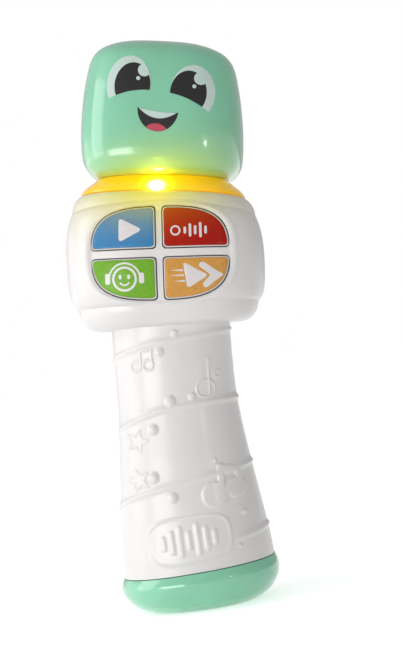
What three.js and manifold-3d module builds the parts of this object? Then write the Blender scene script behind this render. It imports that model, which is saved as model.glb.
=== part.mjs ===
// A toy microphone: a green head on a glowing collar, a white housing with four sound buttons,
// and a flared handle on a green base. Millimetres throughout.
// +X is the right-hand side seen from the front, -Y the front, and +Z up from the flat of the base.
import * as THREE from "three";
import { mergeVertices } from "three/addons/utils/BufferGeometryUtils.js";
import Module from "manifold-3d";

const wasm = await Module();
wasm.setup();

// ---------- Driving dimensions ----------

// The spine rises straight from the base, then leans to +X along one long arc.
const BEND_START = 45;
const BEND_RADIUS = 1045;
// Sections turn a little further than the spine does: [height along the spine, extra degrees].
const TWIST = [[0, 0], [16, -1.8], [60, -0.8], [110, 0], [142, 1.2], [167, 2.2], [174, 1.6], [230, 1.6]];

const WALL = 2.2; // moulded casing wall
const GAP = 0.3; // clearance between pieces that meet
const PART_PLANE = 1; // y of the plane where the front and back casings meet
const SIDES = 28; // corners of an outer section
const INNER_SIDES = 20; // corners of a hollow's section
const FAR = 50; // beyond any piece of the toy

// Each casing form is swept up the spine. A meridian point is [height along the spine, half width];
// front and rear are the section's depths as shares of the half width, and power squares it off.
// crown is how far the edges at the collar dip where the section is CROWN.reach from its middle.
const CROWN = { reach: 38, from: 142, full: 158, hold: 175, to: 192 };
const HANDLE = {
  meridian: [
    [16.2, 30.9], [24, 30.5], [32, 29.7], [46, 28.1], [60, 26.5], [72, 25.2],
    [84, 24.3], [96, 24], [108, 24], [118, 24.2],
  ],
  front: 0.92, rear: 0.93, power: 2.2, steps: 8,
};
const HOUSING = {
  meridian: [
    [113.6, 29.6], [114.4, 32.2], [116, 34.2], [118.5, 35.7], [122, 36.4], [130, 36.6], [142, 36.7],
    [154, 37.2], [160, 37.2], [163, 36.6], [165.3, 35.2], [166.4, 33.7], [166.7, 32.5],
  ],
  front: 0.82, rear: 0.7, power: 2.8, steps: 10, crown: 1.5,
};
const PILLOW = {
  meridian: [
    [122, 35.4], [122.7, 37.1], [124, 38.1], [127, 39.1], [133, 39.8], [142, 40], [151, 39.6],
    [157, 38.8], [160, 37.8], [161.3, 36.8], [162, 35.2],
  ],
  front: 0.84, rear: 0.66, power: 3, steps: 9, crown: 3.4,
};
const COLLAR = {
  meridian: [[167, 33.2], [168, 33.0], [169.6, 31.6], [171.6, 28.9], [173.3, 26.8]],
  front: 0.82, rear: 0.7, power: 2.7, steps: 5, crown: 1.5,
};
const HEAD = {
  meridian: [
    [173.6, 25.4], [174.4, 27.6], [176.2, 29.6], [180, 31.9], [186, 32.7], [195, 32.7], [205, 31.9],
    [213, 30.7], [219, 29.3], [222.8, 27], [225.4, 23.2], [227.4, 17.6], [228.6, 10], [229, 2],
  ],
  front: 0.935, rear: 0.84, power: 3, steps: 14, crown: 1.5,
};
const BASE = {
  meridian: [
    [0, 19.5], [0.5, 22.4], [1.8, 25.4], [4.2, 28.7], [8, 31.5], [11.5, 32.4], [14, 32], [15.9, 31.1],
  ],
  front: 0.93, rear: 0.93, power: 2.2, steps: 8,
};

// The hollows of the casings, given as the outer form they stay one wall inside of.
const HANDLE_HOLLOW = {
  meridian: [[18.4, 30.8], [32, 29.7], [46, 28.1], [60, 26.5], [84, 24.3], [119, 24.2]],
  front: 0.92, rear: 0.93, power: 2.2, steps: 3,
};
const HOUSING_HOLLOW = {
  meridian: [[116.2, 33.6], [120, 36.0], [142, 36.7], [158, 36.4], [164.3, 34.8]],
  front: 0.82, rear: 0.7, power: 2.8, steps: 4, crown: 1.5,
};
const PILLOW_HOLLOW = {
  meridian: [[125, 37.6], [130, 39.2], [142, 40], [154, 39.2], [160, 37.4]],
  front: 0.84, rear: 0.66, power: 3, steps: 5, crown: 3.4,
};
const COLLAR_HOLLOW = { ...COLLAR, meridian: [[166, 33.6], [168, 33], [169.6, 31.6], [171.3, 29.3]] };
const HEAD_HOLLOW = {
  meridian: [[176.2, 29.2], [180, 31.6], [190, 32.6], [205, 31.8], [216, 29.6], [222, 26], [226.4, 14]],
  front: 0.935, rear: 0.84, power: 3, steps: 7, crown: 1.5,
};

// The handle casings end in a spigot that the base cap fits over.
const SPIGOT = { low: 8, high: 17.6, half: 27.4, wall: 2 };
const CAP_HOLLOW = { low: 4, high: 17, half: 28.1 };
const STRAIGHT = { front: 0.93, rear: 0.93, power: 2.2, steps: 1 };

// Button cluster: a superellipse in four quadrants around a white cross.
const PANEL_AT = 141.7;
const CLUSTER = { halfWidth: 26.9, halfHeight: 18, power: 3, corner: 1.6, arcSteps: 8 };
const CROSS = { upright: 2.2, bar: 2.9 };
const RECESS = { depth: 1, margin: 0.9, floor: -20 };
const BUTTONS = [
  { name: "play", right: -1, up: 1, color: 0x3d86bd },
  { name: "record", right: 1, up: 1, color: 0xb3231b },
  { name: "voice", right: -1, up: -1, color: 0x7bb034 },
  { name: "forward", right: 1, up: -1, color: 0xdc9d4c },
];
const BUTTON = { gap: 0.5, sunk: 0.25, back: -23.7, flange: 0.7, lip: 0.9 };
const LABEL = { margin: 0.45, pocket: 0.75, low: 0.65, high: 0.15, side: 0.15 };

// Stack behind the buttons: a silicone sheet with a dome under each button, then the board.
const DOME = { x: 11, z: 8, radius: 3.4, top: -22.4 };
const SHEET = { halfWidth: 24.5, halfHeight: 15, from: -21.7, to: -21 };
const BOARD_PLATE = { halfWidth: 25.2, halfHeight: 15.6, from: -20.6, to: -19.1, earX: 32, earZ: 3.4 };
const BOARD_BOSS = { x: 30, outer: 1.9, pilot: 0.9 };

// Blob over the sound chip, on the back of the board. Profile is [radius, height].
const SOUND_CHIP = [[0, 0], [4.5, 0], [4, 0.9], [2.4, 1.6], [0, 1.8]];
const CHIP = { x: 17, y: -19, z: 8 };

// Loudspeaker facing the holes in the back. Profiles are [radius, height] along its axis.
const SPEAKER_BACK = 8; // y of the back of the magnet
const SPEAKER_SEAT = { inner: 18.1, outer: 19.8, from: 15 };
const MAGNET = { radius: 9, height: 6 };
const BASKET = [
  [0, 6.3], [10, 6.3], [16.6, 11], [17.7, 11], [17.7, 12.2], [15.8, 12.2], [9.4, 7.5], [0, 7.5],
];
const CONE = [
  [0, 8.4], [4, 8.4], [15.2, 12.6], [17.4, 12.6], [17.4, 13.2], [15, 13.2], [4, 9.4], [0, 9.9],
];
const GRILLE = { radius: 13, slots: 7, pitch: 3.5, height: 1.5, from: 20 };

// Neck coupler: a turned tube that ties the head to the housing through the collar.
const NECK = [
  [6.5, 161.4], [12.6, 161.4], [12.6, 163.6], [9, 163.6], [9, 176.5], [12.6, 176.5], [12.6, 178.4],
  [6.5, 178.4], [6.5, 161.4],
];
const NECK_HOLE = 9.6;
const LAMP_BOARD = { inner: 10, outer: 18.5, from: 167, to: 168.2 };
const LAMP = { count: 3, at: 15, radius: 1.5, height: 2.4 };
const WIRE_HOLE = { radius: 1.4, y: -15 };

// Microphone capsule under the sound holes in the top of the head.
const CAPSULE = { radius: 4.8, y: 8.8, from: 218.2, to: 222.8 };
const BOOT = { outer: 6.2, inner: 5.1, from: 216.8, to: 223.4 };
const SOCKET = { outer: 7.5, inner: 6.5, from: 216.4, to: 228 };
const SOUND_HOLES = { count: 6, radius: 0.8, circle: 3, from: 220, to: 250 };

// Battery bay in the handle, for three cells of the common 10.5 mm by 44.5 mm size.
const BAY_AT = 62;
const CELL = {
  profile: [[0, -21.1], [5.15, -21.1], [5.15, 22.9], [1.9, 22.9], [1.9, 23.9], [0, 23.9]],
  pitch: 11, y: 9,
};
const TRAY = { halfWidth: 18.4, from: 1.6, floor: 3.5, rim: 10, half: 26, wall: 1.2 };
const CONTACT = { from: 24.15, to: 24.55, half: 4.4, low: 4.2, high: 9.6 };
const SPRING = { radius: 3, wire: 0.4, low: 23.65, high: 21.6, turns: 2, pointsPerTurn: 6 };

// Battery door in the back of the handle, on a ledge with a tab for its captive screw.
const DOOR = { low: 36, high: 96, halfWidth: 17.5, corner: 4, screwAt: 92 };
const LEDGE = { depth: 1.4, under: 1.2, beyond: 2, from: 10.8, tabHalf: 5, tabLow: 88.6, tabFrom: 15 };

// Power slider in the back of the handle.
const SWITCH_AT = 104.9;
const SLIDER = {
  halfWidth: 2.5, halfHeight: 3, from: 17.2, to: 23.6, rest: -2.3,
  flange: [4.2, 4.2], flangeTo: 18.7, slot: [2.9, 5.9],
};
const SWITCH = { half: [5, 6.6], from: 9, to: 16.6, rail: 1.3 };

// Screws, with the bosses they pull together.
const SCREW = {
  profile: [[0, -15], [1, -14], [1, 0.1], [2.7, 0.1], [2.5, 1.6], [0, 2.1]],
  pilot: 1.3, clear: 1.5, recess: 3.1, seat: 9,
};
const DOOR_SCREW = {
  profile: [[0, 14], [1, 15], [1, 20.7], [2.3, 20.7], [2.1, 21.8], [0, 22.2]],
  recess: 2.8, seat: 20.6,
};
const BOARD_SCREW = [[0, -3.6], [0.6, -3.6], [0.6, 0.1], [1.7, 0.1], [1.6, 1], [0, 1.3]];
const BOSS = { front: 3, rear: 4.4, frontEnd: 0.5, rearEnd: 1.5, pilotEnd: -9 };
const PANEL_SCREWS = { x: 29.5, z: 13.5 };
const HANDLE_SCREW_AT = 28;
const HEAD_SCREWS = { at: 186, x: 22 };
const WIRE_RADIUS = 0.6;
const WIRES = {
  battery_wire: [[9, 6, 88.6], [9.5, 2, 94], [9, -6, 104], [8, -16, 116], [7.5, -19.8, 125.6]],
  speaker_wire: [[0, 14.5, 124.6], [0, 8, 121.4], [0, -8, 121.4], [0, -19.8, 125.6]],
  capsule_wire: [[0, 8.8, 216.3], [0, 6, 205], [0, 1, 185], [0, 0, 172], [0, -4, 160], [0, -19.8, 157.9]],
  lamp_wire: [[0, -15, 166.7], [0, -15, 162], [3, -17, 159], [6, -19.8, 157.9]],
};

// ---------- Materials ----------
const plastic = (color, roughness = 0.35) =>
  new THREE.MeshStandardMaterial({ color, roughness, metalness: 0 });
const metal = (color, roughness = 0.3) =>
  new THREE.MeshStandardMaterial({ color, roughness, metalness: 1 });
const GREEN = plastic(0x86cfae, 0.25);
const WHITE = plastic(0xe9e6e5, 0.3);
const AMBER = plastic(0xf2c71c, 0.2);
const BOARD = plastic(0x1f5c3a, 0.5);
const SILICONE = plastic(0xb9b9b5, 0.6);
const BLACK = plastic(0x1c1c1e, 0.4);
const PAPER = plastic(0x3a3632, 0.8);
const FILM = plastic(0x3b5c8c, 0.35);
const STEEL = metal(0xb8bbbf);
const NICKEL = metal(0xcfc9b6, 0.25);

// ---------- Solids ----------

// A closed geometry as a solid, moved by the matrix.
function solid(geometry, matrix = new THREE.Matrix4()) {
  const bare = new THREE.BufferGeometry();
  bare.setAttribute("position", geometry.getAttribute("position").clone());
  if (geometry.index) bare.setIndex(geometry.index.clone());
  const merged = mergeVertices(bare.applyMatrix4(matrix), 1e-4);
  return new wasm.Manifold(
    new wasm.Mesh({
      numProp: 3,
      vertProperties: new Float32Array(merged.attributes.position.array),
      triVerts: new Uint32Array(merged.index.array),
    }),
  );
}

// A solid as a three.js geometry.
function shape(body) {
  const mesh = body.getMesh();
  const positions = new Float32Array(mesh.numVert * 3);
  for (let i = 0; i < mesh.numVert; i++) {
    const at = i * mesh.numProp;
    positions.set(mesh.vertProperties.subarray(at, at + 3), i * 3);
  }
  const geometry = new THREE.BufferGeometry();
  geometry.setAttribute("position", new THREE.BufferAttribute(positions, 3));
  geometry.setIndex(new THREE.BufferAttribute(new Uint32Array(mesh.triVerts), 1));
  geometry.computeVertexNormals();
  return geometry;
}

const union = (...bodies) => bodies.reduce((all, body) => all.add(body));
const cut = (body, ...tools) => tools.reduce((left, tool) => left.subtract(tool), body);

// The extra turn of the section at height s, in radians.
function extraLean(s) {
  const high = Math.max(1, TWIST.findIndex(([height]) => height >= s));
  const [[from, low], [to, up]] = TWIST.slice(high - 1, high + 1);
  return THREE.MathUtils.degToRad(low + ((up - low) * (s - from)) / (to - from));
}

// The frame of the spine at height s: its origin on the spine, +Z along it.
function frameAt(s) {
  const bend = Math.max(0, s - BEND_START) / BEND_RADIUS;
  const x = BEND_RADIUS * (1 - Math.cos(bend));
  const z = s <= BEND_START ? s : BEND_START + BEND_RADIUS * Math.sin(bend);
  return new THREE.Matrix4().makeRotationY(bend + extraLean(s)).setPosition(x, 0, z);
}

// The frame at height s, for pieces whose own heights are measured along the whole spine.
const aligned = (s) => frameAt(s).multiply(new THREE.Matrix4().makeTranslation(0, 0, -s));

// A coordinate of a superellipse of this power, from the cosine or sine of the angle.
const squared = (value, power) => Math.sign(value) * Math.abs(value) ** (2 / power);

// How far a form with a crown dips at height s and distance x from its middle.
function dip(crown, s, x) {
  const up = THREE.MathUtils.smoothstep(s, CROWN.from, CROWN.full);
  const down = THREE.MathUtils.smoothstep(s, CROWN.hold, CROWN.to);
  return crown * up * (1 - down) * (x / CROWN.reach) ** 2;
}

// A casing form swept up the spine. The inset thins it all round.
function loft(form, inset = 0, sides = SIDES) {
  const meridian = new THREE.SplineCurve(form.meridian.map(([s, half]) => new THREE.Vector2(s, half)));
  const levels = meridian.getSpacedPoints(form.steps);
  const positions = [];
  for (const { x: s, y: half } of levels) {
    const frame = frameAt(s);
    for (let i = 0; i < sides; i++) {
      const angle = (i / sides) * 2 * Math.PI;
      const depth = (Math.sin(angle) < 0 ? form.front : form.rear) * half - inset;
      const x = (half - inset) * squared(Math.cos(angle), form.power);
      const y = depth * squared(Math.sin(angle), form.power);
      positions.push(...new THREE.Vector3(x, y, -dip(form.crown ?? 0, s, x)).applyMatrix4(frame));
    }
  }
  for (const { x: s } of [levels[0], levels.at(-1)]) {
    positions.push(...new THREE.Vector3().applyMatrix4(frameAt(s)));
  }
  const index = [];
  const bottom = levels.length * sides;
  const top = bottom + 1;
  const last = (levels.length - 1) * sides;
  for (let i = 0; i < sides; i++) {
    const next = (i + 1) % sides;
    for (let ring = 0; ring < last; ring += sides) {
      index.push(ring + i, ring + next, ring + sides + next);
      index.push(ring + i, ring + sides + next, ring + sides + i);
    }
    index.push(bottom, next, i, top, last + i, last + next);
  }
  const geometry = new THREE.BufferGeometry();
  geometry.setAttribute("position", new THREE.Float32BufferAttribute(positions, 3));
  return solid(geometry.setIndex(index));
}

// A straight length of the spigot's section.
const straight = ({ low, high, half }, inset = 0) =>
  loft({ ...STRAIGHT, meridian: [[low, half], [high, half]] }, inset);

// An outline in the frame's XZ plane, extruded along Y between two depths.
function prism(outline, from, to, frame) {
  const geometry = new THREE.ExtrudeGeometry(outline, { depth: to - from, bevelEnabled: false });
  geometry.rotateX(Math.PI / 2).translate(0, to, 0);
  return solid(geometry, frame);
}

// A round bar along the frame's Y.
function bar(radius, from, to, x, z, frame, segments = 14) {
  const geometry = new THREE.CylinderGeometry(radius, radius, to - from, segments);
  return solid(geometry.translate(x, (from + to) / 2, z), frame);
}

// A round post along the frame's Z.
function post(radius, from, to, x, y, frame, segments = 18) {
  const geometry = new THREE.CylinderGeometry(radius, radius, to - from, segments);
  return solid(geometry.rotateX(Math.PI / 2).translate(x, y, (from + to) / 2), frame);
}

// A box between its lowest and highest corners in the frame.
function block(low, high, frame) {
  const size = high.map((value, i) => value - low[i]);
  const middle = high.map((value, i) => (value + low[i]) / 2);
  return solid(new THREE.BoxGeometry(...size).translate(...middle), frame);
}

// A profile of [radius, height] points turned about the frame's Y.
function turned(profile, frame, segments = 20) {
  const points = profile.map(([radius, height]) => new THREE.Vector2(radius, height));
  return solid(new THREE.LatheGeometry(points, segments), frame);
}

const Y_TO_Z = new THREE.Matrix4().makeRotationX(Math.PI / 2);

// The frame moved along its own axes.
const shifted = (frame, x, y, z) =>
  frame.clone().multiply(new THREE.Matrix4().makeTranslation(x, y, z));

// A round wire through points given as [x, y, height along the spine].
function wire(points) {
  const path = new THREE.CatmullRomCurve3(
    points.map(([x, y, s]) => new THREE.Vector3(x, y, 0).applyMatrix4(frameAt(s))),
  );
  const section = new THREE.Shape().absarc(0, 0, WIRE_RADIUS, 0, 2 * Math.PI);
  const steps = 3 * (points.length - 1);
  return solid(new THREE.ExtrudeGeometry(section, { steps, extrudePath: path, curveSegments: 2 }));
}

// A coil spring between a battery contact and the flat end of the cell at x. End is +1 or -1.
function coil(x, end) {
  const points = [];
  const count = SPRING.turns * SPRING.pointsPerTurn;
  for (let i = 0; i <= count; i++) {
    const angle = (i / SPRING.pointsPerTurn) * 2 * Math.PI;
    const z = end * (SPRING.low + ((SPRING.high - SPRING.low) * i) / count);
    const across = SPRING.radius * Math.cos(angle);
    const deep = SPRING.radius * Math.sin(angle);
    const point = new THREE.Vector3(x + across, CELL.y + deep, z);
    points.push(point.applyMatrix4(bay));
  }
  const extrudePath = new THREE.CatmullRomCurve3(points);
  const section = new THREE.Shape().absarc(0, 0, SPRING.wire, 0, 2 * Math.PI);
  return solid(new THREE.ExtrudeGeometry(section, { steps: count + 4, extrudePath, curveSegments: 2 }));
}

// ---------- Outlines ----------

// One quadrant of the button cluster, grown all round. Right and up are +1 or -1.
function quadrant({ right, up }, grow) {
  const { power, corner } = CLUSTER;
  const width = CLUSTER.halfWidth + grow;
  const height = CLUSTER.halfHeight + grow;
  const left = CROSS.upright / 2 + BUTTON.gap - grow;
  const low = CROSS.bar / 2 + BUTTON.gap - grow;
  const other = (value, own, across) => across * (1 - (value / own) ** power) ** (1 / power);
  const highest = other(left + corner, width, height);
  const points = [];
  for (let i = 0; i <= CLUSTER.arcSteps; i++) {
    const angle = ((i / CLUSTER.arcSteps) * Math.PI) / 2;
    const x = width * squared(Math.cos(angle), power);
    const z = height * squared(Math.sin(angle), power);
    if (z > low + corner && z < highest) points.push([x, z]);
  }
  const outline = new THREE.Shape();
  outline.moveTo(left + corner, low);
  outline.lineTo(other(low, height, width) - corner, low);
  outline.quadraticCurveTo(other(low, height, width), low, ...points[0]);
  for (const point of points.slice(1)) outline.lineTo(...point);
  outline.lineTo(left + corner, highest);
  outline.quadraticCurveTo(left, highest, left, highest - corner);
  outline.lineTo(left, low + corner);
  outline.quadraticCurveTo(left, low, left + corner, low);
  const corners = outline.getPoints(3).slice(0, -1);
  return new THREE.Shape(corners.map(({ x, y }) => new THREE.Vector2(right * x, up * y)));
}

// The outline of the whole cluster, grown all round.
function clusterOutline(grow) {
  const points = [];
  for (let i = 0; i < SIDES; i++) {
    const angle = (i / SIDES) * 2 * Math.PI;
    const x = (CLUSTER.halfWidth + grow) * squared(Math.cos(angle), CLUSTER.power);
    const z = (CLUSTER.halfHeight + grow) * squared(Math.sin(angle), CLUSTER.power);
    points.push(new THREE.Vector2(x, z));
  }
  return new THREE.Shape(points);
}

function roundedRectangle(halfWidth, low, high, corner) {
  const outline = new THREE.Shape();
  outline.moveTo(corner - halfWidth, low);
  outline.lineTo(halfWidth - corner, low);
  outline.quadraticCurveTo(halfWidth, low, halfWidth, low + corner);
  outline.lineTo(halfWidth, high - corner);
  outline.quadraticCurveTo(halfWidth, high, halfWidth - corner, high);
  outline.lineTo(corner - halfWidth, high);
  outline.quadraticCurveTo(-halfWidth, high, -halfWidth, high - corner);
  outline.lineTo(-halfWidth, low + corner);
  outline.quadraticCurveTo(-halfWidth, low, corner - halfWidth, low);
  return new THREE.Shape(outline.getPoints(3).slice(0, -1));
}

// ---------- Casings ----------
const panel = frameAt(PANEL_AT);
const bay = frameAt(BAY_AT);
const switchFrame = frameAt(SWITCH_AT);
const neckFrame = aligned(170);
const topFrame = aligned(224);
const SPACE = 6 * FAR;
const frontHalf = block([-SPACE, -SPACE, -SPACE], [SPACE, PART_PLANE - GAP / 2, SPACE]);
const rearHalf = block([-SPACE, PART_PLANE + GAP / 2, -SPACE], [SPACE, SPACE, SPACE]);

// Every screw's name, frame and place in it; the screws run along the frame's Y.
const caseScrews = [
  ["case_screw_handle", frameAt(HANDLE_SCREW_AT), 0, 0],
  ["case_screw_lower_left", panel, -PANEL_SCREWS.x, -PANEL_SCREWS.z],
  ["case_screw_lower_right", panel, PANEL_SCREWS.x, -PANEL_SCREWS.z],
  ["case_screw_upper_left", panel, -PANEL_SCREWS.x, PANEL_SCREWS.z],
  ["case_screw_upper_right", panel, PANEL_SCREWS.x, PANEL_SCREWS.z],
];
const headScrews = [
  ["head_screw_left", frameAt(HEAD_SCREWS.at), -HEAD_SCREWS.x, 0],
  ["head_screw_right", frameAt(HEAD_SCREWS.at), HEAD_SCREWS.x, 0],
];

// The front half of a hollow shell, with a boss and a pilot hole for each screw.
function frontCasing(shell, outer, screws) {
  const bosses = screws.map(([, frame, x, z]) => bar(BOSS.front, -FAR, BOSS.frontEnd, x, z, frame, 8));
  const pilots = screws.map(([, frame, x, z]) => bar(SCREW.pilot, BOSS.pilotEnd, FAR, x, z, frame, 6));
  return cut(shell.intersect(frontHalf).add(union(...bosses).intersect(outer)), ...pilots);
}

// The back half, with a boss, a through hole and a sunk seat for each screw.
function rearCasing(shell, outer, screws) {
  const bosses = screws.map(([, frame, x, z]) => bar(BOSS.rear, BOSS.rearEnd, FAR, x, z, frame, 10));
  const holes = screws.flatMap(([, frame, x, z]) => [
    bar(SCREW.clear, -FAR, SCREW.seat + 1, x, z, frame, 6),
    bar(SCREW.recess, SCREW.seat, FAR, x, z, frame, 10),
  ]);
  return cut(shell.intersect(rearHalf).add(union(...bosses).intersect(outer)), ...holes);
}

const handleOuter = loft(HANDLE);
const pillowOuter = loft(PILLOW);
const bodyOuter = union(handleOuter, loft(HOUSING), pillowOuter);
const bodyHollow = union(
  loft(HANDLE_HOLLOW, WALL, INNER_SIDES),
  loft(HOUSING_HOLLOW, WALL, INNER_SIDES),
  loft(PILLOW_HOLLOW, WALL + RECESS.depth, INNER_SIDES),
);
const bodyShell = cut(
  bodyOuter.add(straight(SPIGOT)),
  bodyHollow,
  straight({ ...SPIGOT, low: SPIGOT.low - 1, high: SPIGOT.high + 2 }, SPIGOT.wall),
  post(NECK_HOLE, 163, 168, 0, 0, neckFrame),
);

function frontShell() {
  const recess = prism(clusterOutline(RECESS.margin), -FAR, RECESS.floor, panel);
  const openings = BUTTONS.map((button) => prism(quadrant(button, BUTTON.gap), -FAR, RECESS.floor, panel));
  const boardBosses = [-BOARD_BOSS.x, BOARD_BOSS.x].map((x) =>
    bar(BOARD_BOSS.outer, -FAR, BOARD_PLATE.from - GAP, x, 0, panel).intersect(bodyOuter),
  );
  const boardPilots = [-BOARD_BOSS.x, BOARD_BOSS.x].map((x) =>
    bar(BOARD_BOSS.pilot, BOARD_PLATE.from - 4, BOARD_PLATE.to, x, 0, panel, 8),
  );
  return cut(
    frontCasing(bodyShell, bodyOuter, caseScrews).add(union(...boardBosses)),
    recess.subtract(loft(PILLOW, RECESS.depth)),
    ...openings,
    ...boardPilots,
    post(WIRE_HOLE.radius, 163, 168, 0, WIRE_HOLE.y, neckFrame, 10),
  );
}

const doorOutline = (grow) =>
  roundedRectangle(DOOR.halfWidth + grow, DOOR.low - grow, DOOR.high + grow, DOOR.corner);
const doorFrame = aligned(BAY_AT);

// The ledge under the battery door's edge, with the tab that takes its screw.
function doorLedge() {
  const innerSkin = loft(HANDLE, WALL - 0.4);
  const rim = innerSkin
    .subtract(loft(HANDLE, WALL + LEDGE.depth))
    .intersect(prism(doorOutline(LEDGE.beyond), LEDGE.from, FAR, doorFrame));
  const tab = block(
    [-LEDGE.tabHalf, LEDGE.tabFrom, LEDGE.tabLow], [LEDGE.tabHalf, FAR, DOOR.high + 1], doorFrame,
  );
  const bayOpening = roundedRectangle(
    DOOR.halfWidth - LEDGE.under, DOOR.low + LEDGE.under, DOOR.high - LEDGE.under, DOOR.corner,
  );
  return union(rim.subtract(prism(bayOpening, -1, FAR, doorFrame)), tab.intersect(innerSkin));
}

// Level slots in front of the loudspeaker, as long as a circle allows.
function grilleSlots() {
  return Array.from({ length: GRILLE.slots }, (_, i) => {
    const z = (i - (GRILLE.slots - 1) / 2) * GRILLE.pitch;
    const reach = Math.sqrt(GRILLE.radius ** 2 - z ** 2);
    const half = GRILLE.height / 2;
    return block([-reach, GRILLE.from, z - half], [reach, FAR, z + half], panel);
  });
}

function rearShell() {
  const seat = bar(SPEAKER_SEAT.outer, SPEAKER_SEAT.from, FAR, 0, 0, panel, 24)
    .subtract(bar(SPEAKER_SEAT.inner, SPEAKER_SEAT.from - 1, 22.5, 0, 0, panel, 24))
    .intersect(bodyOuter);
  const rails = [-1, 1].map((side) => {
    const inner = side * (SWITCH.half[0] + GAP);
    const outer = side * (SWITCH.half[0] + GAP + SWITCH.rail);
    return block(
      [Math.min(inner, outer), SWITCH.from, -SWITCH.half[1]], [Math.max(inner, outer), FAR, SWITCH.half[1]],
      switchFrame,
    ).intersect(handleOuter);
  });
  const doorway = prism(doorOutline(GAP), 2, FAR, doorFrame);
  const [slotX, slotZ] = SLIDER.slot;
  const bayOpening = roundedRectangle(
    DOOR.halfWidth - LEDGE.under, DOOR.low + LEDGE.under, LEDGE.tabLow, DOOR.corner,
  );
  return cut(
    rearCasing(bodyShell, bodyOuter, caseScrews).add(union(doorLedge(), seat, ...rails)),
    doorway.subtract(loft(HANDLE, WALL + GAP)),
    prism(bayOpening, 2, FAR, doorFrame),
    bar(SCREW.pilot, 0, FAR, 0, DOOR.screwAt, doorFrame, 10),
    block([-slotX, 14, -slotZ], [slotX, FAR, slotZ], switchFrame),
    ...grilleSlots(),
  );
}

// ---------- The assembly ----------
const microphone = new THREE.Group();

function place(name, body, material) {
  const mesh = new THREE.Mesh(shape(body), material.clone());
  mesh.name = name;
  microphone.add(mesh);
}

place("front_shell", frontShell(), WHITE);
place("rear_shell", rearShell(), GREEN);
place("base_cap", loft(BASE).subtract(straight(CAP_HOLLOW)), GREEN);

// Head: two casings on the neck coupler, with the sound holes and the capsule's socket at the top.
const headOuter = loft(HEAD);
const headShell = cut(
  headOuter, loft(HEAD_HOLLOW, WALL, INNER_SIDES), post(NECK_HOLE, 172, 178, 0, 0, neckFrame),
);
const socket = post(SOCKET.outer, SOCKET.from, SOCKET.to, 0, CAPSULE.y, topFrame)
  .subtract(post(SOCKET.inner, SOCKET.from - 1, 227, 0, CAPSULE.y, topFrame))
  .intersect(headOuter);
const soundHoles = Array.from({ length: SOUND_HOLES.count }, (_, i) => {
  const angle = (i / SOUND_HOLES.count) * 2 * Math.PI;
  const x = SOUND_HOLES.circle * Math.cos(angle);
  const y = CAPSULE.y + SOUND_HOLES.circle * Math.sin(angle);
  return post(SOUND_HOLES.radius, SOUND_HOLES.from, SOUND_HOLES.to, x, y, topFrame, 8);
});
place("head_front_shell", frontCasing(headShell, headOuter, headScrews), GREEN);
place(
  "head_rear_shell",
  cut(rearCasing(headShell, headOuter, headScrews).add(socket), ...soundHoles),
  GREEN,
);
place("neck_coupler", turned(NECK, neckFrame.clone().multiply(Y_TO_Z)), BLACK);

// Glowing collar: a dished ring over a board with its lamps.
const lampBoard = cut(
  post(LAMP_BOARD.outer, LAMP_BOARD.from, LAMP_BOARD.to, 0, 0, neckFrame, 24),
  post(LAMP_BOARD.inner, LAMP_BOARD.from - 1, LAMP_BOARD.to + 1, 0, 0, neckFrame, 24),
);
place(
  "light_ring",
  cut(loft(COLLAR), loft(COLLAR_HOLLOW, WALL, INNER_SIDES), post(NECK_HOLE, 160, 180, 0, 0, neckFrame)),
  AMBER,
);
place("lamp_board", lampBoard, BOARD);
for (let i = 0; i < LAMP.count; i++) {
  const angle = (i / LAMP.count - 0.25) * 2 * Math.PI;
  const base = LAMP_BOARD.to + 0.05;
  const x = LAMP.at * Math.cos(angle);
  const y = LAMP.at * Math.sin(angle);
  place(`lamp_${i + 1}`, post(LAMP.radius, base, base + LAMP.height, x, y, neckFrame, 12), AMBER);
}

// Buttons and their coloured labels.
const pillowTop = loft(PILLOW, BUTTON.sunk);
const pocket = loft(PILLOW, LABEL.pocket);
const labelSkin = loft(PILLOW, LABEL.high).subtract(loft(PILLOW, LABEL.low));
for (const button of BUTTONS) {
  const stem = prism(quadrant(button, 0), -FAR, BUTTON.back, panel).intersect(pillowTop);
  const flange = prism(quadrant(button, BUTTON.lip), BUTTON.back - BUTTON.flange, BUTTON.back, panel);
  const inset = prism(quadrant(button, -LABEL.margin), -FAR, BUTTON.back - 2, panel).subtract(pocket);
  const label = prism(quadrant(button, -LABEL.margin - LABEL.side), -FAR, BUTTON.back - 2, panel);
  place(`${button.name}_button`, stem.add(flange).subtract(inset), WHITE);
  place(`${button.name}_label`, label.intersect(labelSkin), plastic(button.color, 0.4));
}

// Silicone sheet, board and sound chip behind the buttons.
const domes = [[-1, -1], [1, -1], [-1, 1], [1, 1]].map(([x, z]) =>
  bar(DOME.radius, DOME.top, SHEET.to, x * DOME.x, z * DOME.z, panel, 12),
);
place(
  "button_sheet",
  union(
    block(
      [-SHEET.halfWidth, SHEET.from, -SHEET.halfHeight], [SHEET.halfWidth, SHEET.to, SHEET.halfHeight], panel,
    ),
    ...domes,
  ),
  SILICONE,
);
const { halfWidth, halfHeight, earX, earZ } = BOARD_PLATE;
place(
  "main_board",
  cut(
    union(
      block([-halfWidth, BOARD_PLATE.from, -halfHeight], [halfWidth, BOARD_PLATE.to, halfHeight], panel),
      block([-earX, BOARD_PLATE.from, -earZ], [earX, BOARD_PLATE.to, earZ], panel),
    ),
    bar(1.3, -FAR, 0, -BOARD_BOSS.x, 0, panel, 10),
    bar(1.3, -FAR, 0, BOARD_BOSS.x, 0, panel, 10),
  ),
  BOARD,
);
place("sound_chip", turned(SOUND_CHIP, shifted(panel, CHIP.x, CHIP.y, CHIP.z), 16), BLACK);

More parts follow.
